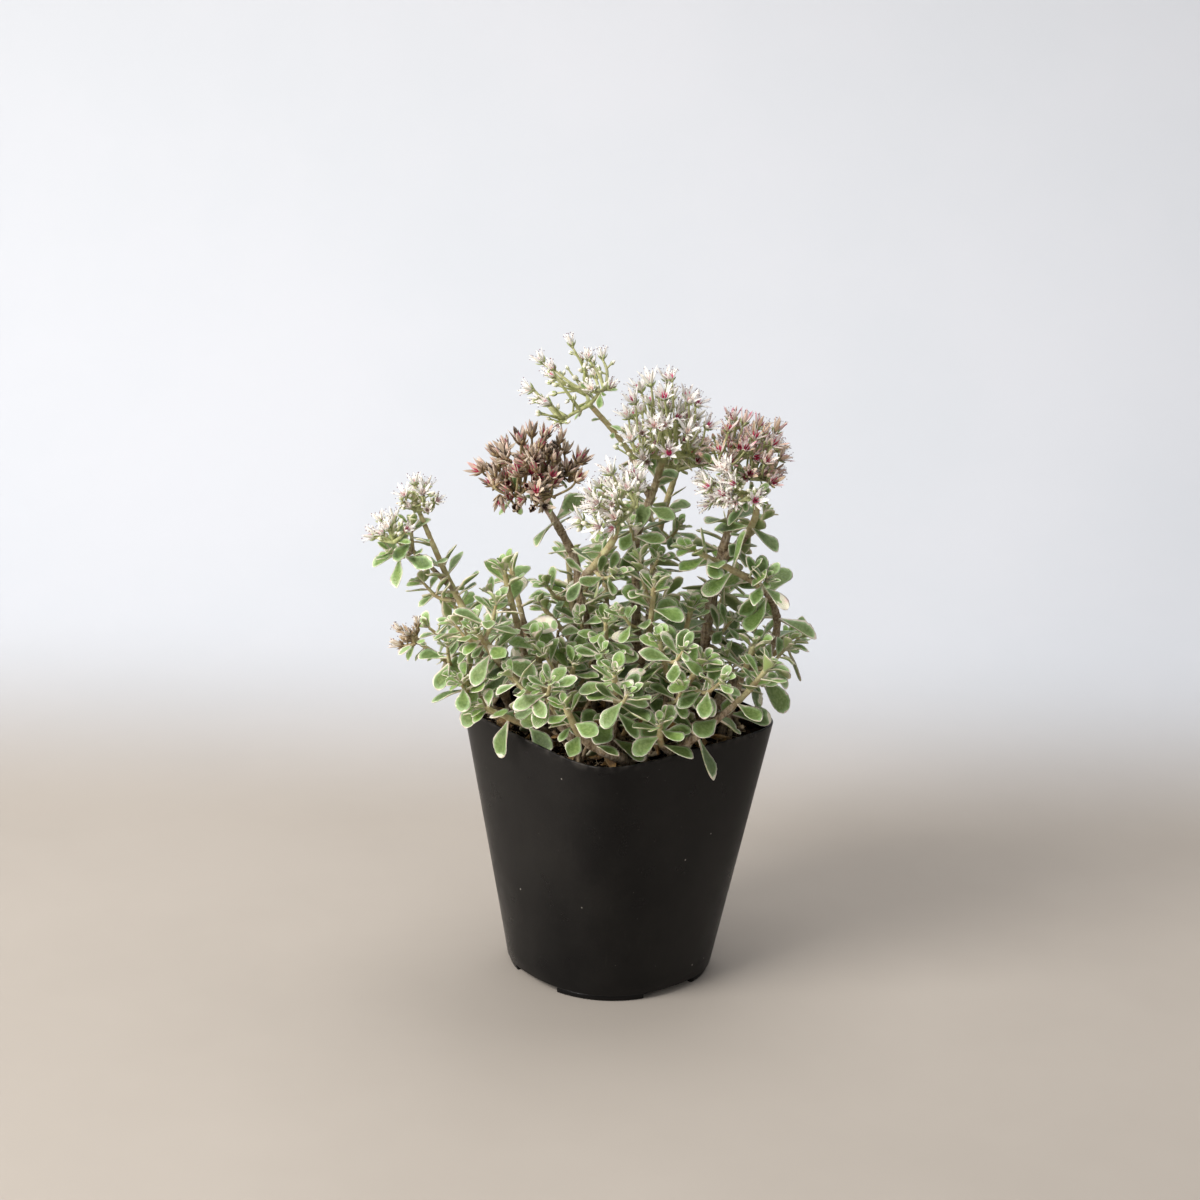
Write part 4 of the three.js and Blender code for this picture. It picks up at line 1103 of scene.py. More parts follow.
def flower(petals, stalks, bloom, draw, dress, facing, airy):
    """One flower with its petals, sepals, stamens, carpels and stalk."""
    across, other = square_to(bloom["along"])
    along = bloom["along"]
    seed = draw()
    long = bloom["petal"]
    place = bloom["place"]

    def outward(angle):
        return across * math.cos(angle) + other * math.sin(angle)

    for i in range(PETALS):
        angle = i / PETALS * 2 * math.pi + bloom["turn"]
        way = outward(angle + (draw() - 0.5) * 0.14)
        opened = bloom["open"] * dress["close"] - dress["recurve"] + (draw() - 0.5) * 0.24
        out = unit(way * math.sin(opened) + along * math.cos(opened))
        face = unit(along * math.sin(opened) - way * math.cos(opened))
        width = long * dress["width"] * (0.9 + 0.2 * draw())
        thin_blade(petals, place + way * 0.45, out, face, long * (0.96 + 0.1 * draw()), width,
                   dress["bend"] - dress["recurve"] * (0.4 + 0.8 * draw()), draw(), PETAL, rows=5)
        lean = bloom["open"] * dress["close"] + 0.3
        way = outward(angle + 0.63)
        out = unit(way * math.sin(lean) + along * math.cos(lean))
        face = unit(along * math.sin(lean) - way * math.cos(lean))
        sepal = long * dress["sepal"] * (1.3 if airy else 1.0)
        thin_blade(stalks, place + way * 0.5 - along * 0.2, out, face, sepal, long * 0.17, 0.08, draw(),
                   SEPAL, rows=3, keel=0.7, blunt=0.3)
    for i in range(2 * PETALS if dress["stamens"] else 0):
        angle = i / (2 * PETALS) * 2 * math.pi + bloom["turn"] + 0.2 + (draw() - 0.5) * 0.3
        lean = (0.42 + 0.35 * (i % 2)) * min(1.0, bloom["open"]) + (draw() - 0.5) * 0.2
        way = outward(angle)
        out = way * math.sin(lean) + along * math.cos(lean)
        end = place + way * 0.5 + out * long * (0.72 + 0.2 * draw())
        bow = place + way * 0.6 + along * long * 0.36 + way * long * 0.36 * math.sin(lean)
        thread(petals, [place + way * 0.45, bow, end], (0.13, 0.08), seed, FILAMENT)
        bead(petals, end + out * 0.1, unit(out + way * 0.8), 0.5, 0.19, seed, ANTHER)
    for i in range(PETALS):
        angle = (i + 0.5) / PETALS * 2 * math.pi + bloom["turn"]
        way = outward(angle)
        out = unit(along + way * dress["carpel_lean"])
        root = place + way * 0.42 + along * 0.1
        top = root + out * long * dress["carpel"] * (0.9 + 0.2 * draw())
        middle = (root + top) / 2 + way * 0.12
        thread(petals, [root, middle, top], (dress["plump"], 0.1), seed, CARPEL, 4, 1.2)
    bead(stalks, place - along * 0.15, along, 1.5, 0.85, seed, STALK, 6)
    foot = bloom["foot"]
    climb = place - foot
    upward = facing * (climb @ facing)
    middle = foot + climb * 0.5 + (climb - upward) * 0.2 - upward * 0.06
    path = [foot, middle, place - along * 0.5]
    thread(stalks, path, (0.85 if airy else 0.5, 0.45), draw(), STALK, 6 if airy else 5, 2.2)
    for part in (0.4, 0.6, 0.8) if airy else ():
        if draw() < 0.5:
            side_foot = curve_point(path, part)
            way = unit(facing * 0.6 + outward(draw() * 2 * math.pi))
            spot = side_foot + way * (1.2 + 1.4 * draw())
            bud(petals, stalks, side_foot, spot, way, 2.0 + 1.2 * draw(), draw)


# Shapes of the flowers of each kind, as shares of a petal's length. "more" and "buds" are the small flowers
# and buds for each large flower, and "spread", "wander" and "close" say how unevenly the flowers open.
DRESSES = {
    "petal_white": {"width": 0.235, "bend": 0.02, "recurve": 0.14, "stamens": True,
                    "carpel": 0.48, "plump": 0.4, "carpel_lean": 0.16, "sepal": 0.38,
                    "more": 2.2, "more_size": 0.84, "buds": 1.2,
                    "spread": 30, "wander": 0.9, "close": 0.74},
    "petal_pink": {"width": 0.24, "bend": 0.04, "recurve": 0.06, "stamens": True,
                   "carpel": 0.52, "plump": 0.5, "carpel_lean": 0.2, "sepal": 0.44,
                   "more": 2.6, "more_size": 0.86, "buds": 1.4,
                   "spread": 34, "wander": 1.1, "close": 0.86},
    "petal_faded": {"width": 0.29, "bend": 0.1, "recurve": 0.0, "stamens": False,
                    "carpel": 0.62, "plump": 0.5, "carpel_lean": 0.26, "sepal": 0.5,
                    "more": 3.4, "more_size": 0.94, "buds": 0.0,
                    "spread": 60, "wander": 2.1, "close": 1.1},
}


def bud(petals, stalks, foot, place, along, size, draw):
    """A closed bud between its sepals, on a short stalk."""
    seed = draw()
    bead(petals, place + along * size * 0.35, along, size, size * 0.27, seed, PETAL, 6)
    across, other = square_to(along)
    for i in range(PETALS):
        angle = i / PETALS * 2 * math.pi + seed
        way = across * math.cos(angle) + other * math.sin(angle)
        out = unit(along + way * 0.35)
        face = unit(along * 0.35 - way)
        root = place + way * size * 0.14 - along * 0.1
        thin_blade(stalks, root, out, face, size * 0.55, size * 0.24, 0.1, seed, SEPAL, rows=3, keel=0.7,
                   blunt=0.3)
    thread(stalks, [foot, (foot + place) / 2 + along * 0.3, place], (0.42, 0.36), seed, STALK, 4, 2.0)


# Heads whose small flowers rise above the large ones, and by how much.
TALLER = {"head_tall_centre": 1.4, "head_pink_right": 1.1}


def more_florets(head, owner, draw, dress):
    """Smaller flowers in the gaps of the dome, within the reach of the large ones."""
    facing, outward_at = head_frame(head)
    found = []
    wanted = dress["more"] * head["flowers"] * (0.2 if head["petal"] < 6 else 1)
    for _ in range(int(wanted * 6)):
        if len(found) >= wanted:
            break
        angle = draw() * 2 * math.pi
        fall = math.cos(math.acos(1 - draw() * (1 - math.cos(DOME_ANGLE * 1.12))))
        slope = math.sqrt(max(0.0, 1 - fall * fall))
        outward = outward_at(angle)
        size = 0.55 + 0.44 * draw()
        rise = head["rise"] * (1 + (TALLER.get(head["name"], 1.0) - 1) * draw())
        place = head["fork"] + outward * head["reach"] * slope * size + facing * rise * fall * size
        foot = nearest_arm(head, angle).at(0.1 + 0.8 * slope * size)[0]
        along = flower_way(outward, facing, slope, fall, dress["wander"], draw)
        opened = math.radians(head["open"] * 0.8 + (draw() - 0.5) * dress["spread"])
        bloom = {"place": place, "along": along, "foot": foot, "turn": draw() * 2, "open": max(0.2, opened),
                 "petal": head["petal"] * dress["more_size"] * (0.8 + 0.3 * draw())}
        places, rooms = flower_marks(bloom)
        if TAKEN.is_clear(places, rooms, owner, 0.22):
            TAKEN.take(places, rooms, owner)
            found.append(bloom)
    return found


def bracts(head, owner, draw, count):
    """Small narrow leaves on the arms of a head."""
    found = []
    for _ in range(count):
        arm = head["branches"][int(draw() * len(head["branches"]))]
        seat = arm.at(0.05 + 0.7 * draw())
        look = leaf_look(draw, 0.1)
        look["broad"] *= 0.72
        length = 5 + 4.5 * draw()
        azimuth = draw() * 2 * math.pi
        high = math.radians(5 + 50 * draw())
        leaf = first_clear(seat, azimuth, high, length, look, owner, 0.7, 0.3, TRIES[:5])
        if leaf:
            leaf["young"] = 0.4
            found.append(leaf)
    return found


# %% [markdown]
# ## Soil and what lies on it
# Potting soil is a dark crumbly bed. On it lie loose crumbs, dry root fibres, snapped bits of dead stem and
# withered leaves that fell from above, and thin dead stems still stand in it. Crumbs are one mesh, fibres
# and dead stems another and withered leaves a third, all placed by seeded draws within the pot's walls.

# %% Soil parts
BED_SIDES = 144
BED_RINGS = 54
CRUMB_COUNT = 1500
CRUMB_SIDES = 5
FIBRE_COUNT = 260
DEAD_STEM_COUNT = 150
CHIP_COUNT = 60
TWIG_SIDES = 7
WITHERED_COUNT = 120
FIBRE_REACH = 45.0
DEAD_STEM_REACH = 46.0


def pot_ring(z, inset, sides, shrink=1.0):
    even = np.arange(sides) / sides * 2 * math.pi
    angle = even + 0.12 * np.sin(4 * even)
    radius = (pot_radius(angle, z) - inset) * shrink
    z = np.full(sides, float(z))
    return np.stack([radius * np.cos(angle + POT_TURN), radius * np.sin(angle + POT_TURN), z], axis=-1)


def soil_skin():
    skin = Skin()
    low = FOOT_HEIGHT + FLOOR_THICK + SOIL_GAP
    inset = WALL + SOIL_GAP
    sides = BED_SIDES
    rings = [pot_ring(low, inset, sides), pot_ring(SOIL_TOP - 6, inset, sides)]
    for shrink in np.linspace(1, 0.02, BED_RINGS):
        ring = pot_ring(SOIL_TOP, inset, sides, shrink)
        coarse = soft_noise(ring * 0.22 + 7) - 0.5
        crumbs = soft_noise(ring * 0.9 + 3) - 0.5
        grit = soft_noise(ring * 2.1 + 11) - 0.5
        ring[:, 2] = soil_height(ring[:, 0], ring[:, 1]) + 2.2 * coarse + 1.7 * crumbs + 0.7 * grit - 0.4
        rings.append(ring)
    rings = np.array(rings)
    notes = np.zeros(rings.shape[:2] + (4,))
    notes[..., 2] = 0.5
    skin.loft(rings, notes)
    return skin


def in_bed(draw, edge=3.0):
    """A random place on the soil, kept inside the wall."""
    angle = draw() * 2 * math.pi
    radius = (float(pot_radius(angle - POT_TURN, SOIL_TOP)) - edge) * math.sqrt(draw())
    x, y = radius * math.cos(angle), radius * math.sin(angle)
    return np.array([x, y, float(soil_height(x, y))])


def random_way(draw):
    """Any direction, each as likely as the next."""
    angle = draw() * 2 * math.pi
    rise = (draw() - 0.5) * 2
    flat = math.sqrt(max(0.0, 1 - rise * rise))
    return np.array([flat * math.cos(angle), flat * math.sin(angle), rise])


def crumb_skin():
    skin = Skin()
    draw = drawer(CRUMB_SEED)
    for _ in range(CRUMB_COUNT):
        place = in_bed(draw)
        size = 0.5 + 1.5 * draw() ** 3
        place[2] += size * 0.2 + 0.4 * draw()
        seed = draw()
        along = random_way(draw)
        share = np.array([0.1, 0.5, 0.92])
        line = place + np.multiply.outer((share - 0.5) * size * 1.7, along)
        uneven = np.array([[0.6 + 0.8 * draw() for _ in range(CRUMB_SIDES)] for _ in share])
        radii = size * 0.75 * np.sqrt(1 - (2 * share - 1) ** 2 * 0.95)[:, None] * uneven
        skin.loft(tube_rings(line, radii, CRUMB_SIDES), (0, 0, seed, 0))
    return skin


def litter_skin():
    skin = Skin()
    draw = drawer(LITTER_SEED)
    for _ in range(FIBRE_COUNT):
        place = in_bed(draw, 2.5)
        place[2] += 0.5
        way = random_way(draw)
        way[2] = abs(way[2]) * 0.35
        points = [place]
        for _ in range(4):
            way = unit(way + random_way(draw) * 0.9)
            way[2] = way[2] * 0.5 if points[-1][2] < SOIL_TOP + 7 else -0.5
            step = points[-1] + way * (1.5 + 2.6 * draw())
            step[2] = max(step[2], float(soil_height(step[0], step[1])) + 0.3)
            hold = FIBRE_REACH / max(FIBRE_REACH, math.hypot(step[0], step[1]))
            step[:2] *= hold
            points.append(step)
        thread(skin, points, (0.1 + 0.22 * draw() ** 2, 0.07), draw(), 0, 3, 1.5)
    for _ in range(DEAD_STEM_COUNT):
        place = in_bed(draw, 7)
        way = unit(np.array([place[0], place[1], 0]) / 60 + random_way(draw) * 0.7 + UP * 0.9)
        long = 9 + 34 * draw() ** 2
        end = place + way * long
        hold = DEAD_STEM_REACH / max(DEAD_STEM_REACH, math.hypot(end[0], end[1]))
        end[:2] *= hold
        spots = np.array([place * (1 - s) + end * s for s in (0.4, 0.6, 0.8, 1.0)])
        size = 0.45 + 0.8 * draw() ** 2
        middle = (place + end) / 2 + random_way(draw) * 1.6
        seed = draw()
        if not TAKEN.is_clear(spots + UP * 2.0, np.full(4, size), -1, 1.0):
            continue
        line = smooth_line([place - UP * 2, middle, end], 1.1)
        radii = size * np.linspace(1.15, 0.8, len(line))[:, None] * (
            0.85 + 0.3 * np.array([[draw() for _ in range(TWIG_SIDES)] for _ in line]))
        skin.loft(tube_rings(line, radii, TWIG_SIDES), (0.4, 0, seed, 0))
    for _ in range(CHIP_COUNT):
        place = in_bed(draw, 12)
        way = random_way(draw)
        way[2] = 0.1 + 0.35 * draw()
        way = unit(way)
        long = 5 + 14 * draw()
        size = 0.5 + 1.0 * draw() ** 2
        place[2] += size
        middle = place + way * long * 0.5 + random_way(draw) * 1.2
        line = smooth_line([place, middle, place + way * long], 1.2)
        radii = size * (0.85 + 0.3 * np.array([[draw() for _ in range(TWIG_SIDES)] for _ in line]))
        skin.loft(tube_rings(line, radii, TWIG_SIDES), (0.4, 0, draw(), 0))
    return skin


# Withered leaves that were placed one by one: root, way out, length, width, curl, cup.
FALLEN = [
    ((-40, -15, 110.5), (-0.75, -0.5, -0.3), 9.5, 6.0, -0.35, 0.9),
    ((-33, -21, 110), (-0.5, 0.2, 0.35), 9.0, 4.2, -0.3, 0.6),
    ((-8, -42, 106), (0.3, -0.5, 0.2), 7.0, 3.6, -0.2, 0.8),
    ((14, -38, 106), (0.6, -0.3, 0.3), 6.5, 3.0, 0.3, 1.0),
    ((27, -30, 107), (0.5, 0.1, 0.6), 8.0, 3.4, -0.4, 0.9),
]


def withered(root, out, face, length, width, curl, cup):
    return {"root": root, "out": out, "face": face, "across": np.cross(face, out), "length": length,
            "width": width, "curl": curl, "cup": cup, "young": 0.0, "dead": 1.0}


def dead_leaf_skin():
    skin = Skin()
    draw = drawer(WITHERED_SEED)
    for root, out, length, width, curl, cup in FALLEN:
        out = unit(np.array(out, float))
        face = unit(UP - out * out[2])
        blade(skin, withered(np.array(root, float), out, face, length, width, curl, cup), draw, 0, True)
    for _ in range(WITHERED_COUNT):
        place = in_bed(draw, 9)
        place[2] += 1.2 + 17 * draw() ** 2
        out = random_way(draw)
        out[2] = out[2] * 0.3
        out = unit(out)
        face = unit(UP - out * out[2])
        face = turned(face, out, (draw() - 0.5) * 2.4)
        leaf = withered(place - out * 5, out, face, 8 + 6 * draw(), 3 + 2.6 * draw(), -0.5 + 1.0 * draw(),
                        1.3 * draw() - 0.1)
        marks = leaf_marks(leaf)
        radius = np.hypot(marks[:, 0], marks[:, 1])
        wall = pot_radius(np.arctan2(marks[:, 1], marks[:, 0]) - POT_TURN, SOIL_TOP)
        if (radius < wall - 2.5).all():
            blade(skin, leaf, draw, 0, False)
    return skin


# %% [markdown]
# ## The pot
# The pot is one thin blown shell with a narrow rounded lip, four short feet under its corners and drain
# holes in a flat floor. Its wall is lofted from the base up, over the lip and down inside. The floor is cut
# as a flat sheet round its holes.

# %% Pot parts
WALL_SIDES = 192
DRAIN_SIDES = 40


def pot_skin():
    skin = Skin()
    sides = WALL_SIDES
    floor_top = FOOT_HEIGHT + FLOOR_THICK
    profile = [(FOOT_HEIGHT, 0.45), (FOOT_HEIGHT + 0.12, 0.16), (FOOT_HEIGHT + 0.45, 0.0)]
    profile += [(z, 0.0) for z in np.linspace(8, POT_HEIGHT - 3, 14)]
    lip = WALL / 2
    for angle in np.linspace(0, math.pi, 9):
        profile.append((POT_HEIGHT - lip + lip * math.sin(angle), lip - lip * math.cos(angle)))
    profile += [(z, WALL) for z in np.linspace(POT_HEIGHT - 3, floor_top, 8)]
    rings = np.array([pot_ring(z, inset, sides) for z, inset in profile])
    heights = np.array([z for z, _ in profile])[:, None]
    notes = np.zeros(rings.shape[:2] + (4,))
    # The fourth note marks the top of the lip, where the pot's finish paints a highlight.
    notes[..., 3] = np.clip((heights - POT_HEIGHT + 1.2) / 1.2, 0, 1)
    skin.loft(rings, notes, shut=False)
    circles = []
    for k in range(4):
        middle = POT_TURN + k * math.pi / 2
        angles = np.arange(DRAIN_SIDES) / DRAIN_SIDES * 2 * math.pi
        x = DRAIN_RING * math.cos(middle) + DRAIN_RADIUS * np.cos(angles)
        y = DRAIN_RING * math.sin(middle) + DRAIN_RADIUS * np.sin(angles)
        circles.append(np.stack([x, y], axis=-1))
    for z, ring, facing in ((FOOT_HEIGHT, rings[0], -1), (floor_top, rings[-1], 1)):
        flat = np.vstack([ring[:, :2]] + circles)
        edges = []
        start = 0
        for count in [sides] + [DRAIN_SIDES] * 4:
            edges += [(start + i, start + (i + 1) % count) for i in range(count)]
            start += count
        verts, _, faces, *_ = delaunay_2d_cdt([tuple(p) for p in flat.tolist()], edges, [], 0, 1e-5)
        verts = np.array([(v[0], v[1], z) for v in verts])
        kept = []
        for face in faces:
            middle = verts[list(face)][:, :2].mean(axis=0)
            away = [np.linalg.norm(middle - circle.mean(axis=0)) for circle in circles]
            if min(away) > DRAIN_RADIUS * 0.97:
                a, b, c = (verts[i][:2] for i in face[:3])
                turns = (b[0] - a[0]) * (c[1] - a[1]) - (b[1] - a[1]) * (c[0] - a[0])
                kept.append([i + skin.count for i in (face if turns * facing > 0 else face[::-1])])
        count = len(verts)
        skin.add(verts, kept, np.zeros((count, 4)), np.zeros((count, 4)), np.zeros((count, 2)), 0)
    for circle in circles:
        low = np.column_stack([circle, np.full(DRAIN_SIDES, FOOT_HEIGHT)])
        high = np.column_stack([circle, np.full(DRAIN_SIDES, floor_top)])
        skin.loft(np.array([high, low]), (0, 0, 0, 0), shut=False)
    for k in range(4):
        corner = math.pi / 4 + k * math.pi / 2
        rings = []
        for angle in corner + FOOT_HALF_ANGLE * np.linspace(-1, 1, 25):
            outer = float(pot_radius(angle, 0)) - FOOT_INSET
            inner = outer - FOOT_THICK
            way = np.array([math.cos(angle + POT_TURN), math.sin(angle + POT_TURN), 0.0])
            spots = [(inner + 0.3, 0), (inner, 0.3), (inner, FOOT_HEIGHT + 0.8), (outer, FOOT_HEIGHT + 0.8),
                     (outer, 0.3), (outer - 0.3, 0)]
            rings.append([way * radius + UP * z for radius, z in spots])
        skin.loft(np.array(rings), (0, 0, 0.5, 0))
    return skin


# %% [markdown]
# ## Finishes
# All colour is procedural: each finish reads the notes that its mesh carries and breaks them up with noise,
# so no leaf repeats another. Effects that several finishes share are node groups with plain inputs.

# %% Tools for wiring finishes
def colour(code):
    """The linear colour of a hexadecimal one."""
    parts = [int(code[i:i + 2], 16) / 255 for i in (0, 2, 4)]
    return [p / 12.92 if p <= 0.04045 else ((p + 0.055) / 1.055) ** 2.4 for p in parts] + [1.0]


class Wires:
    """A node tree that is wired up with short calls, each of which returns the new node's output."""

    def __init__(self, tree):
        self.tree = tree

    def join(self, value, socket):
        self.tree.links.new(value, socket)

    def node(self, kind, values=None, output=0, **settings):
        made = self.tree.nodes.new(kind)
        for name, value in settings.items():
            setattr(made, name, value)
        for socket, value in (values or {}).items():
            if isinstance(value, bpy.types.NodeSocket):
                self.join(value, made.inputs[socket])
            else:
                made.inputs[socket].default_value = value
        return made.outputs[output]

    def sum(self, operation, a, b=0.0, c=0.0, clamp=False):
        return self.node("ShaderNodeMath", {0: a, 1: b, 2: c}, operation=operation, use_clamp=clamp)

    def span(self, value, start, end, low=0.0, high=1.0):
        """Maps start to end onto low to high with soft ends."""
        values = {0: value, 1: start, 2: end, 3: low, 4: high}
        return self.node("ShaderNodeMapRange", values, interpolation_type="SMOOTHSTEP")

    def mixed(self, share, a, b, blend="MIX"):
        values = {0: share, 6: a, 7: b}
        return self.node("ShaderNodeMix", values, 2, data_type="RGBA", blend_type=blend)

    def noise(self, where, scale, detail=2.0, rough=0.5, output=0):
        values = {"Vector": where, "Scale": scale, "Detail": detail, "Roughness": rough}
        return self.node("ShaderNodeTexNoise", values, output)

    def stretched(self, where, by):
        return self.node("ShaderNodeVectorMath", {0: where, 1: by}, operation="MULTIPLY")

    def chance(self, seed, factor):
        """A share between 0 and 1 that jumps from one seed to the next."""
        return self.sum("FRACT", self.sum("MULTIPLY", seed, factor))

    def parts(self, value):
        made = self.tree.nodes.new("ShaderNodeSeparateColor")
        self.join(value, made.inputs[0])
        return made.outputs

    def attribute(self, name):
        made = self.tree.nodes.new("ShaderNodeAttribute")
        made.attribute_name = name
        return list(self.parts(made.outputs["Color"])) + [made.outputs["Alpha"]]

    def shot(self, x, y=0.0, z=0.0):
        return self.node("ShaderNodeCombineXYZ", {0: x, 1: y, 2: z})


def new_group(name, inputs, outputs):
    """A node group and the wires inside it, with its inputs by name."""
    tree = bpy.data.node_groups.new(name, "ShaderNodeTree")
    for label, kind in inputs:
        tree.interface.new_socket(label, in_out="INPUT", socket_type="NodeSocket" + kind)
    for label, kind in outputs:
        tree.interface.new_socket(label, in_out="OUTPUT", socket_type="NodeSocket" + kind)
    start = tree.nodes.new("NodeGroupInput")
    end = tree.nodes.new("NodeGroupOutput")
    return tree, Wires(tree), start.outputs, end.inputs


def use_group(wires, tree, values):
    made = wires.tree.nodes.new("ShaderNodeGroup")
    made.node_tree = tree
    for socket, value in values.items():
        if isinstance(value, bpy.types.NodeSocket):
            wires.join(value, made.inputs[socket])
        else:
            made.inputs[socket].default_value = value
    return made.outputs


def new_material(name, look):
    """A material whose main shader has the given constant values."""
    material = bpy.data.materials.new(name)
    material.use_nodes = True
    tree = material.node_tree
    shader = tree.nodes["Principled BSDF"]
    for socket, value in look.items():
        shader.inputs[socket].default_value = value
    return material, Wires(tree), shader


def bumped(wires, shader, height, strength, distance):
    normal = wires.node("ShaderNodeBump", {"Height": height, "Strength": strength, "Distance": distance})
    wires.join(normal, shader.inputs["Normal"])


# %% [markdown]
# The cream margin is where the leaf has no green. It follows the edge at an uneven width, breaks into the
# green as ragged patches, and has a pale band where both layers overlap. The group takes the distance from
# the edge, which the mesh knows, and moves the border with noise.

# %% The cream margin as a group
margin, w, into, out = new_group(
    "cream_margin",
    [("Edge", "Float"), ("Seed", "Float"), ("Long", "Float"), ("Where", "Vector"), ("Green", "Color"),
     ("Band", "Color"), ("Cream", "Color")],
    [("Color", "Color"), ("Cream", "Float")],
)
chance = w.node("ShaderNodeTexWhiteNoise", {"W": w.sum("MULTIPLY", into["Seed"], 913.0)}, 1,
                noise_dimensions="1D")
first, second, third = w.parts(chance)[:3]
coarse = w.noise(into["Where"], 0.13, 1.0)
middle = w.noise(into["Where"], 0.55, 2.0)
width = w.sum("MULTIPLY_ADD", w.sum("MULTIPLY", first, first), 0.42, 0.28)
patch = w.sum("MULTIPLY", w.span(coarse, 0.5, 0.68), w.sum("MULTIPLY", w.sum("POWER", second, 2.6), 2.6))
ragged = w.sum("MULTIPLY", w.sum("SUBTRACT", middle, 0.5), w.sum("MULTIPLY_ADD", third, 1.2, 0.5))
width = w.sum("ADD", w.sum("ADD", width, patch), ragged)
width = w.sum("MULTIPLY", width, w.sum("MULTIPLY_ADD", into["Long"], 0.9, 0.35))
deep = w.sum("SUBTRACT", into["Edge"], width)
cream = w.span(deep, -0.12, 0.14, 1.0, 0.0)
band = w.span(deep, 0.1, 1.25, 0.75, 0.0)
green = w.mixed(band, into["Green"], into["Band"])
w.join(w.mixed(cream, green, into["Cream"]), out["Color"])
w.join(cream, out["Cream"])

# %% A two-tone mottle and a speckle as groups
mottle, w, into, out = new_group(
    "mottle",
    [("Where", "Vector"), ("Scale", "Float"), ("Dark", "Color"), ("Light", "Color")],
    [("Color", "Color")],
)
cloud = w.noise(into["Where"], into["Scale"], 4.0, 0.6)
w.join(w.mixed(w.span(cloud, 0.32, 0.68), into["Dark"], into["Light"]), out["Color"])

speck, w, into, out = new_group(
    "specks",
    [("Where", "Vector"), ("Scale", "Float"), ("Share", "Float")],
    [("Mask", "Float")],
)
cells = w.tree.nodes.new("ShaderNodeTexVoronoi")
w.join(into["Where"], cells.inputs["Vector"])
w.join(into["Scale"], cells.inputs["Scale"])
picked = w.sum("LESS_THAN", w.parts(cells.outputs["Color"])[0], into["Share"])
spot = w.span(cells.outputs["Distance"], 0.035, 0.1, 1.0, 0.0)
w.join(w.sum("MULTIPLY", picked, spot), out["Mask"])


def mottled(w, where, scale, dark, light):
    """Soft patches of two tones, given as hexadecimal colours."""
    values = {"Where": where, "Scale": scale, "Dark": colour(dark), "Light": colour(light)}
    return use_group(w, mottle, values)["Color"]


print("finish groups: cream_margin, mottle, specks")

# %% [markdown]
# ## Leaf finish
# The upper face is mid green with the cream margin, the back duller and paler. Leaves near a shoot's tip
# are yellower. The skin has a soft waxy sheen and is faintly pebbled.

# %% Leaf material
def leaf_material(name, dead):
    material, w, shader = new_material(name, {"Roughness": 0.46, "Specular IOR Level": 0.42})
    edge, share, seed, upper = w.attribute("notes")
    young, long, *_ = w.attribute("life")
    place = w.tree.nodes.new("ShaderNodeUVMap").outputs[0]
    place = w.stretched(place, (CHART_SPAN, CHART_SPAN, 0.0))
    shift = w.shot(0.0, 0.0, w.sum("MULTIPLY", seed, 60.0))
    place = w.node("ShaderNodeVectorMath", {0: place, 1: shift}, operation="ADD")
    edge = w.sum("MULTIPLY", edge, EDGE_SPAN)
    upper = w.span(upper, 0.35, 0.65)
    if dead:
        tan = mottled(w, place, 0.5, "6b4a2a", "b08a52")
        pale = w.span(w.noise(place, 0.2), 0.45, 0.7)
        shade = w.mixed(w.sum("MULTIPLY", pale, 0.5), tan, colour("c9b48a"))
        w.join(shade, shader.inputs["Base Color"])
        bumped(w, shader, w.noise(place, 1.6, 3.0), 0.6, 0.0006)
        return material
    tone = w.chance(seed, 7.31)
    top = w.mixed(tone, colour("5a6f3b"), colour("87995a"))
    top = w.mixed(w.sum("MULTIPLY", young, 0.85), top, colour("a3c268"))
    foot = w.span(share, 0.4, 0.05)
    top = w.mixed(w.sum("MULTIPLY", foot, 0.55), top, colour("a9bf7c"))
    top = w.mixed(1.0, top, mottled(w, place, 0.9, "c6d4b8", "ffffff"), "MULTIPLY")
    back = w.mixed(tone, colour("768451"), colour("98a26f"))
    back = w.mixed(w.sum("MULTIPLY", young, 0.6), back, colour("a9ba74"))
    green = w.mixed(upper, back, top)
    band = w.mixed(upper, colour("b3b98d"), colour("a5bf8a"))
    blush = w.span(w.noise(place, 0.3, 2.0), 0.45, 0.75)
    cream = w.mixed(w.sum("MULTIPLY", blush, 0.75), colour("e9e2cc"), colour("dbbfb3"))
    cream = w.mixed(upper, w.mixed(0.5, cream, colour("c9b79d")), cream)
    made = use_group(w, margin, {"Edge": edge, "Seed": seed, "Long": long, "Where": place, "Green": green,
                                 "Band": band, "Cream": cream})
    w.join(made["Color"], shader.inputs["Base Color"])
    pebbles = w.sum("ADD", w.noise(place, 2.6, 2.0), w.sum("MULTIPLY", w.noise(place, 0.8), 1.2))
    bumped(w, shader, pebbles, 0.35, 0.0005)
    w.join(w.span(w.noise(place, 0.7), 0.3, 0.7, 0.4, 0.56), shader.inputs["Roughness"])
    shader.inputs["Subsurface Weight"].default_value = 0.12
    shader.inputs["Subsurface Radius"].default_value = (0.002, 0.003, 0.001)
    shader.inputs["Subsurface Scale"].default_value = 0.6
    return material


LEAF = leaf_material("variegated_leaf", False)
DEAD_LEAF = leaf_material("withered_leaf", True)

# %% [markdown]
# ## Wood finish
# Bark turns from grey brown at the soil to tan, then to the yellow green of this year's growth. Scars are
# darker rings with a pale lip, and fine cracks run along the old wood.

# %% Bark material
def object_place(w, scale=1000.0):
    """Places on the object in millimetres."""
    where = w.tree.nodes.new("ShaderNodeTexCoord").outputs["Object"]
    return w.stretched(where, (scale, scale, scale))


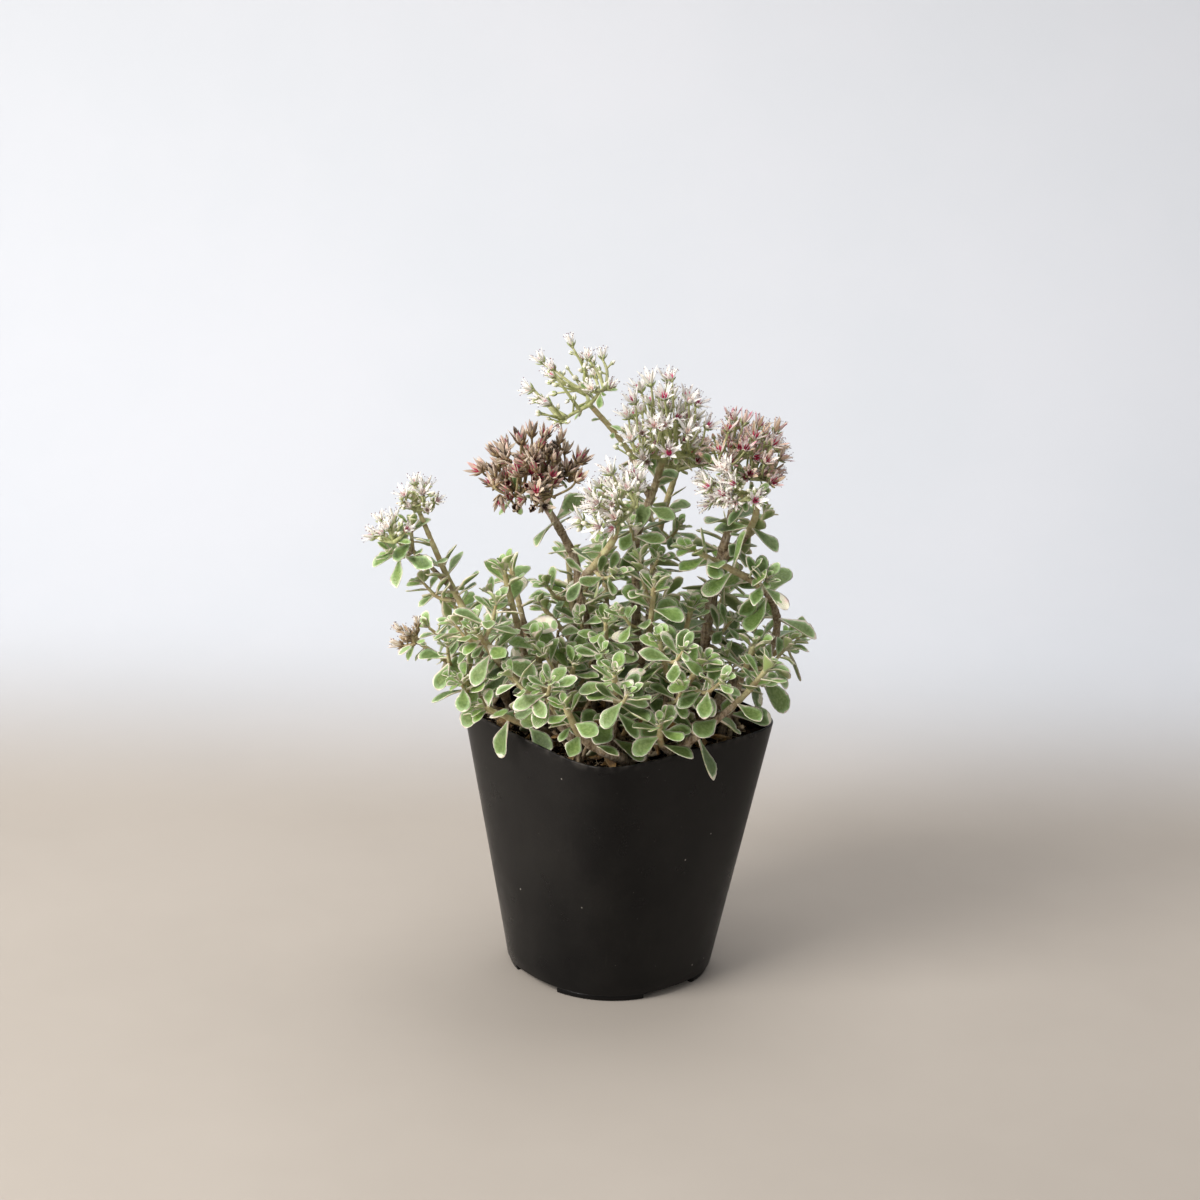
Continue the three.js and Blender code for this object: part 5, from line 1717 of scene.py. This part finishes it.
def bark_material():
    material, w, shader = new_material("bark", {"Roughness": 0.8, "Specular IOR Level": 0.25})
    age, _, _, scar = w.attribute("notes")
    place = object_place(w)
    flat = w.stretched(place, (1.0, 1.0, 0.25))
    old = mottled(w, flat, 1.1, "927d66", "d8c8b0")
    old = w.mixed(1.0, old, mottled(w, place, 0.25, "c2b6a6", "ffffff"), "MULTIPLY")
    young = mottled(w, place, 0.4, "a8936c", "bfb98c")
    ragged = w.sum("ADD", age, w.sum("MULTIPLY", w.sum("SUBTRACT", w.noise(place, 0.3), 0.5), 0.5))
    skin = w.mixed(w.span(ragged, 0.2, 0.8), young, old)
    ring = w.sum("MULTIPLY", w.span(scar, 0.5, 0.98), w.sum("MULTIPLY_ADD", age, 0.3, 0.15))
    skin = w.mixed(ring, skin, colour("6b5845"))
    lip = w.sum("MULTIPLY", w.sum("COMPARE", scar, 0.3, 0.14), w.sum("MULTIPLY", age, 0.45))
    skin = w.mixed(lip, skin, colour("c2ab88"))
    w.join(skin, shader.inputs["Base Color"])
    cracks = w.noise(flat, 1.8, 4.0, 0.65)
    bumped(w, shader, w.sum("MULTIPLY", cracks, w.sum("MULTIPLY_ADD", age, 0.8, 0.2)), 0.9, 0.002)
    return material


BARK = bark_material()

# %% [markdown]
# ## Flower finishes
# Petals are white with a pink flush towards the tip and along the back, filaments nearly clear white, and
# the stamens end in wine-dark anthers. Carpels are pale in fresh flowers and crimson as they ripen. One
# maker draws all petals, and each head's petals get their own three colours.

# %% Petal, stamen and stalk materials
def petal_material(name, base, flush, back, strength, rough=0.55, shade=None):
    material, w, shader = new_material(name, {"Roughness": rough, "Specular IOR Level": 0.35})
    share, side, seed, upper = w.attribute("notes")
    place = object_place(w)
    flushed = w.sum("MULTIPLY", w.sum("POWER", w.chance(seed, 17.7), 2.0), strength)
    tip = w.sum("MULTIPLY", w.span(share, 0.3, 0.9), flushed)
    tone = w.mixed(tip, colour(base), colour(flush))
    if shade:
        tone = w.mixed(w.span(w.chance(seed, 41.3), 0.5, 0.9), tone, colour(shade))
    keel = w.sum("MULTIPLY", w.span(w.sum("ABSOLUTE", side), 0.7, 0.1), w.span(upper, 0.6, 0.4))
    tone = w.mixed(w.sum("MULTIPLY", keel, 0.7), tone, colour(back))
    tone = w.mixed(1.0, tone, mottled(w, place, 1.4, "f3efea", "ffffff"), "MULTIPLY")
    w.join(tone, shader.inputs["Base Color"])
    bumped(w, shader, w.noise(place, 2.2, 3.0), 0.4, 0.0005)
    shader.inputs["Subsurface Weight"].default_value = 0.25
    shader.inputs["Subsurface Radius"].default_value = (0.002, 0.002, 0.002)
    shader.inputs["Subsurface Scale"].default_value = 0.6
    return material


def two_tone_material(name, dark, light, scale, rough, specular=0.35, ripe=None):
    material, w, shader = new_material(name, {"Roughness": rough, "Specular IOR Level": specular})
    seed = w.attribute("notes")[2]
    place = object_place(w)
    tone = w.sum("MULTIPLY_ADD", w.chance(seed, 9.7), 0.4, 0.7)
    skin = mottled(w, place, scale, dark, light)
    if ripe:
        skin = w.mixed(w.span(w.chance(seed, 23.1), 0.6, 0.7), skin, colour(ripe))
    skin = w.mixed(1.0, skin, w.node("ShaderNodeCombineColor", {0: tone, 1: tone, 2: tone}), "MULTIPLY")
    w.join(skin, shader.inputs["Base Color"])
    bumped(w, shader, w.noise(place, scale * 2.5, 4.0, 0.6), 0.6, 0.0008)
    return material


PETALS_OF = {
    "petal_white": petal_material("white_petal", "fffdf6", "f8dcd8", "f6f0dc", 0.5),
    "petal_pink": petal_material("pink_petal", "f4e6dc", "d06c88", "c9a893", 1.1, 0.55, "d3b99b"),
    "petal_faded": petal_material("faded_petal", "ddccb6", "d98a98", "9c8570", 0.6, 0.8, "5a483c"),
    "petal_dried": petal_material("dried_petal", "efe4d2", "dcb4a8", "c9b69a", 0.8, 0.8, "b89f80"),
}
FILAMENTS = two_tone_material("filament", "f4eee8", "ffffff", 1.0, 0.6)
ANTHERS = two_tone_material("anther", "4a1c26", "8a3c4c", 1.5, 0.7)
CARPELS_OF = {
    "petal_white": two_tone_material("pale_carpel", "e0a0ac", "f2e9d2", 0.5, 0.5, ripe="cf4070"),
    "petal_pink": two_tone_material("crimson_carpel", "a3163f", "d83a66", 0.6, 0.42),
    "petal_faded": two_tone_material("ripe_carpel", "a63048", "d65f7c", 0.6, 0.6, ripe="4c3c32"),
    "petal_dried": two_tone_material("dry_carpel", "b08a78", "d9c3a4", 0.6, 0.7),
}
STALKS = two_tone_material("green_stalk", "a3a96b", "c8c796", 0.35, 0.5)
OLD_STALKS = two_tone_material("brown_stalk", "7f6a4e", "a8996f", 0.35, 0.7)
SEPALS = two_tone_material("sepal", "98a968", "c6cb95", 0.6, 0.5)
OLD_SEPALS = two_tone_material("old_sepal", "83694f", "b39c74", 0.6, 0.75)

# %% [markdown]
# ## Pot and soil finishes
# The pot is black polypropylene, satin rather than glossy. Handling leaves faint upright scuffs and soil
# dust, with a few pale specks, and a highlight is painted along its thin lip. Soil is dark peat with paler
# crumbs.

# %% Pot and soil materials
def pot_material():
    material, w, shader = new_material("black_plastic", {"Roughness": 0.3, "Specular IOR Level": 0.16})
    lip = w.attribute("notes")[3]
    place = object_place(w)
    base = mottled(w, place, 0.035, "0e0d0d", "151413")
    streaks = w.stretched(place, (0.9, 0.9, 0.05))
    scuff = w.span(w.noise(streaks, 0.7, 3.0, 0.6), 0.58, 0.8)
    cloud = w.span(w.noise(place, 0.03, 3.0), 0.4, 0.75)
    dusty = w.sum("MULTIPLY", w.sum("MULTIPLY_ADD", scuff, 0.6, 0.25), cloud)
    skin = w.mixed(w.sum("MULTIPLY", dusty, 0.1), base, colour("5f5850"))
    # A highlight painted along the top of the lip, broken up with noise.
    painted_lip_highlight = w.sum("MULTIPLY", lip, w.span(w.noise(place, 0.25, 3.0), 0.4, 0.7))
    skin = w.mixed(w.sum("MULTIPLY", painted_lip_highlight, 0.35), skin, colour("6e6862"))
    dots = use_group(w, speck, {"Where": place, "Scale": 0.2, "Share": 0.07})["Mask"]
    fine_dots = use_group(w, speck, {"Where": place, "Scale": 0.5, "Share": 0.05})["Mask"]
    dots = w.sum("MAXIMUM", dots, w.sum("MULTIPLY", fine_dots, 0.35))
    skin = w.mixed(w.sum("MULTIPLY", dots, 0.7), skin, colour("a8a29a"))
    w.join(skin, shader.inputs["Base Color"])
    dull = w.sum("MULTIPLY_ADD", dusty, 0.35, w.span(w.noise(place, 0.12, 3.0), 0.2, 0.8, 0.26, 0.34))
    w.join(dull, shader.inputs["Roughness"])
    bumped(w, shader, w.noise(place, 1.4, 3.0, 0.6), 0.12, 0.0004)
    return material


def soil_material():
    material, w, shader = new_material("peat", {"Roughness": 0.95, "Specular IOR Level": 0.15})
    place = object_place(w)
    straw = use_group(w, speck, {"Where": place, "Scale": 0.8, "Share": 0.12})["Mask"]
    base = mottled(w, place, 0.5, "120d0a", "33261c")
    skin = w.mixed(w.sum("MULTIPLY", straw, 0.6), base, colour("7b6548"))
    w.join(skin, shader.inputs["Base Color"])
    bumped(w, shader, w.noise(place, 1.5, 5.0, 0.7), 1.0, 0.002)
    return material


POT = pot_material()
SOIL = soil_material()
CRUMBS = two_tone_material("crumb", "1b130e", "4c3a2a", 0.9, 0.95, 0.15)
LITTER = two_tone_material("dry_fibre", "7d6750", "c9b696", 0.5, 0.85, 0.2)
print("materials:", len(bpy.data.materials))

# %% [markdown]
# ## Putting the pot together

# %% Pot, soil and litter
pot = make_piece("pot_shell", pot_skin(), [POT], "pot", "pot")
soil = make_piece("soil_bed", soil_skin(), [SOIL], "soil", "soil")
crumbs = make_piece("soil_crumbs", crumb_skin(), [CRUMBS], "soil")
litter = make_piece("soil_litter", litter_skin(), [LITTER], "soil")
dead = make_piece("withered_leaves", dead_leaf_skin(), [DEAD_LEAF], "leaf")
draw = drawer(OLD_WOOD_SEED)
old_skin = Skin()
for old in old_stems:
    wood(old_skin, old, draw, OLD_SIDES, NEVER_FRESH)
old_piece = make_piece("old_wood", old_skin, [BARK], "leaf")
for made in (pot, soil, crumbs, litter, dead, old_piece):
    print(made.name, len(made.data.polygons), "faces")

# %% [markdown]
# ## Putting the plant together
# Each stem becomes two pieces, its wood and its leaves, and each head two more, its flowers and the green
# parts that carry them. The two stand for the one plain solid that they replace.

# %% Stems with leaves
# The share of a stem's length from which it is this year's growth.
FRESH_FROM = {"stem_left_truss": 0.35, "stem_left_low": 0.5, "stem_tall_centre": 0.92,
              "stem_tall_left": 0.95, "stem_tall_right": 0.95, "stem_arching_right": 0.8}
OTHER_FRESH_FROM = 0.72
BRANCH_FRESH_FROM = 0.45
for number, plant in enumerate(plants):
    draw = drawer(STEM_FINISH_SEED + number)
    stems, leaves = Skin(), Skin()
    for order, shoot in enumerate(plant["shoots"]):
        fresh = FRESH_FROM.get(plant["name"], OTHER_FRESH_FROM) if order == 0 else BRANCH_FRESH_FROM
        wood(stems, shoot, draw, STEM_SIDES, fresh)
        for leaf in shoot["leaves"]:
            blade(leaves, leaf, draw, 0, leaf["length"] > FINE_FROM)
    for sprig in plant["sprigs"]:
        wood(stems, sprig, draw, SPRIG_SIDES, SPRIG_FRESH_FROM)
        for leaf in sprig["leaves"]:
            blade(leaves, leaf, draw, 0, leaf["length"] > FINE_FROM)
    make_piece(plant["name"] + "_wood", stems, [BARK], "leaf", plant["name"])
    make_piece(plant["name"] + "_leaves", leaves, [LEAF], "leaf", plant["name"])
    print(plant["name"], stems.triangles() + leaves.triangles(), "triangles")

# %% Heads with flowers
# Heads with no more large flowers than this are airy: thicker stalks, longer sepals and buds on the stalks.
AIRY_FLOWERS = 11
for number, head in enumerate(heads):
    draw = drawer(HEAD_FINISH_SEED + number)
    owner = HEAD_OWNER + number
    petals, stalks = Skin(), Skin()
    finish = "petal_dried" if head["name"] == "head_left_low" else head["colour"]
    dress = DRESSES["petal_white" if finish == "petal_dried" else finish]
    facing, outward_at = head_frame(head)
    neck = head["neck"].line
    thread(stalks, [neck[0] - unit(neck[1] - neck[0]) * 0.6, *neck[1:]],
           (head["neck_radii"][0] * 0.95, HUB * 0.62), draw(), STALK, 9, 0.8)
    bead(stalks, head["fork"], facing, 3.0, HUB * 0.8, draw(), STALK, 9)
    for branch in head["branches"]:
        thread(stalks, [head["fork"], *branch.line], (1.0, 0.6), draw(), STALK, 7, 1.0)
    extra = more_florets(head, owner, draw, dress)
    airy = head["flowers"] <= AIRY_FLOWERS
    for bloom in head["blooms"] + extra:
        flower(petals, stalks, bloom, draw, dress, facing, airy)
    buds = 0
    for _ in range(int(dress["buds"] * head["flowers"])):
        arm = head["branches"][int(draw() * len(head["branches"]))]
        foot, along = arm.at(0.35 + 0.65 * draw())
        way = unit(facing * (0.4 + 0.8 * draw()) + outward_at(draw() * 2 * math.pi) * 0.7)
        size = 2.4 + 1.6 * draw()
        place = foot + way * (2.2 + head["rise"] * 0.55 * draw())
        spots = np.array([place, place + way * size])
        if TAKEN.is_clear(spots, np.array([0.5, 0.6]), owner, 0.55):
            TAKEN.take(spots, 0.9, owner)
            bud(petals, stalks, foot, place, way, size, draw)
            buds += 1
    faded = finish in ("petal_faded", "petal_dried")
    green = [OLD_STALKS, OLD_SEPALS] if faded else [STALKS, SEPALS]
    make_piece(head["name"] + "_flowers", petals,
               [PETALS_OF[finish], FILAMENTS, ANTHERS, CARPELS_OF[finish]], head["colour"],
               head["name"])
    for leaf in bracts(head, owner, draw, 3 + head["arms"] * 2):
        blade(stalks, leaf, draw, BRACT, False)
    make_piece(head["name"] + "_stalks", stalks, green + [LEAF], "leaf", head["name"])
    print(head["name"], len(head["blooms"]), "large and", len(extra), "small flowers,", buds, "buds,",
          petals.triangles() + stalks.triangles(), "triangles")

# %% [markdown]
# ## The stage
# A plain pale floor bends up into a plain pale wall, which is clear from behind so that the back of the
# plant can be looked at too. One large soft light stands to the left in front, a weaker one fills from the
# right, low ones draw the soft bands on the pot, and the sky is a soft grey, as in a small studio.

# %% Floor, lights and camera
FLOOR_FRONT = -8.0
FLOOR_BACK = 0.3
BEND = 0.4
WALL_TOP = 3.0
FLOOR_SIDE = 6.0


def backdrop():
    profile = [(FLOOR_FRONT, 0.0), (FLOOR_BACK, 0.0)]
    for angle in np.linspace(0.1, math.pi / 2, 16):
        profile.append((FLOOR_BACK + BEND * math.sin(angle), BEND - BEND * math.cos(angle)))
    profile.append((FLOOR_BACK + BEND, WALL_TOP))
    points = [(x, y, z) for y, z in profile for x in (-FLOOR_SIDE, FLOOR_SIDE)]
    faces = [(2 * i, 2 * i + 1, 2 * i + 3, 2 * i + 2) for i in range(len(profile) - 1)]
    mesh = bpy.data.meshes.new("backdrop")
    mesh.from_pydata(points, [], faces)
    mesh.polygons.foreach_set("use_smooth", [True] * len(faces))
    made = bpy.data.objects.new("backdrop", mesh)
    bpy.context.scene.collection.objects.link(made)
    material, w, shader = new_material("pale_floor", {"Roughness": 0.75, "Specular IOR Level": 0.2})
    place = object_place(w, 1.0)
    floor = mottled(w, place, 5.0, "a9a096", "ada49a")
    wall = mottled(w, place, 5.0, "c9cbcf", "cccdd1")
    depth = w.node("ShaderNodeSeparateXYZ", {0: place}, 1)
    tone = w.mixed(w.span(depth, 0.13, 0.4), floor, wall)
    w.join(tone, shader.inputs["Base Color"])
    reverse = w.tree.nodes.new("ShaderNodeNewGeometry").outputs["Backfacing"]
    clear = w.node("ShaderNodeBsdfTransparent")
    shown = w.node("ShaderNodeMixShader", {0: reverse, 1: shader.outputs[0], 2: clear})
    w.join(shown, w.tree.nodes["Material Output"].inputs["Surface"])
    mesh.materials.append(material)


def soft_light(name, place, aim, size, power, tint):
    lamp = bpy.data.lights.new(name, "AREA")
    lamp.shape = "DISK"
    lamp.size = size
    lamp.energy = power
    lamp.color = tint
    made = bpy.data.objects.new(name, lamp)
    bpy.context.scene.collection.objects.link(made)
    away = unit(np.array(place, float) - np.array(aim, float))
    across = unit(np.cross(UP, away))
    turn = np.stack([across, np.cross(away, across), away], axis=1)
    made.matrix_world = Matrix.Translation(place) @ Matrix(turn.tolist()).to_4x4()


backdrop()
soft_light("key_light", (-0.95, -0.7, 1.0), (0, 0, 0.14), 0.7, 21.5, (1.0, 0.985, 0.96))
soft_light("fill_light", (1.1, -0.9, 0.6), (0, 0, 0.12), 0.9, 0.6, (0.96, 0.98, 1.0))
soft_light("low_light", (-0.8, -1.0, 0.24), (0, 0, 0.06), 0.3, 4, (1.0, 0.99, 0.97))
soft_light("side_light", (-1.15, -0.1, 0.2), (0, 0, 0.08), 0.5, 2.4, (1.0, 0.99, 0.97))
soft_light("top_light", (0.1, 0.3, 1.3), (0, 0, 0.15), 0.9, 7, (1.0, 1.0, 1.0))
world = bpy.data.worlds.new("soft_sky")
world.use_nodes = True
sky = world.node_tree.nodes["Background"].inputs
sky["Color"].default_value = (0.96, 0.97, 1.0, 1.0)
sky["Strength"].default_value = 0.4
bpy.context.scene.world = world

AIM = np.array([-8.57, 0.0, 155.25]) * 0.001 + AXIS
PITCH = math.radians(18.16)
DISTANCE = 1.1891
ROLL = math.radians(1.954)
lens = bpy.data.cameras.new("photo_camera")
lens.lens = 90
lens.sensor_width = 36
lens.clip_end = 20
camera = bpy.data.objects.new("photo_camera", lens)
bpy.context.scene.collection.objects.link(camera)
spot = AIM + DISTANCE * np.array([0.0, -math.cos(PITCH), math.sin(PITCH)])
camera.matrix_world = (Matrix.Translation(spot.tolist()) @ Matrix.Rotation(math.pi / 2 - PITCH, 4, "X")
                       @ Matrix.Rotation(ROLL, 4, "Z"))
bpy.context.scene.camera = camera
bpy.context.scene.view_settings.view_transform = "Standard"

# %% The size, and the last step
print("plain box", [round(c * 1000, 1) for corner in PLAIN_BOX for c in corner])
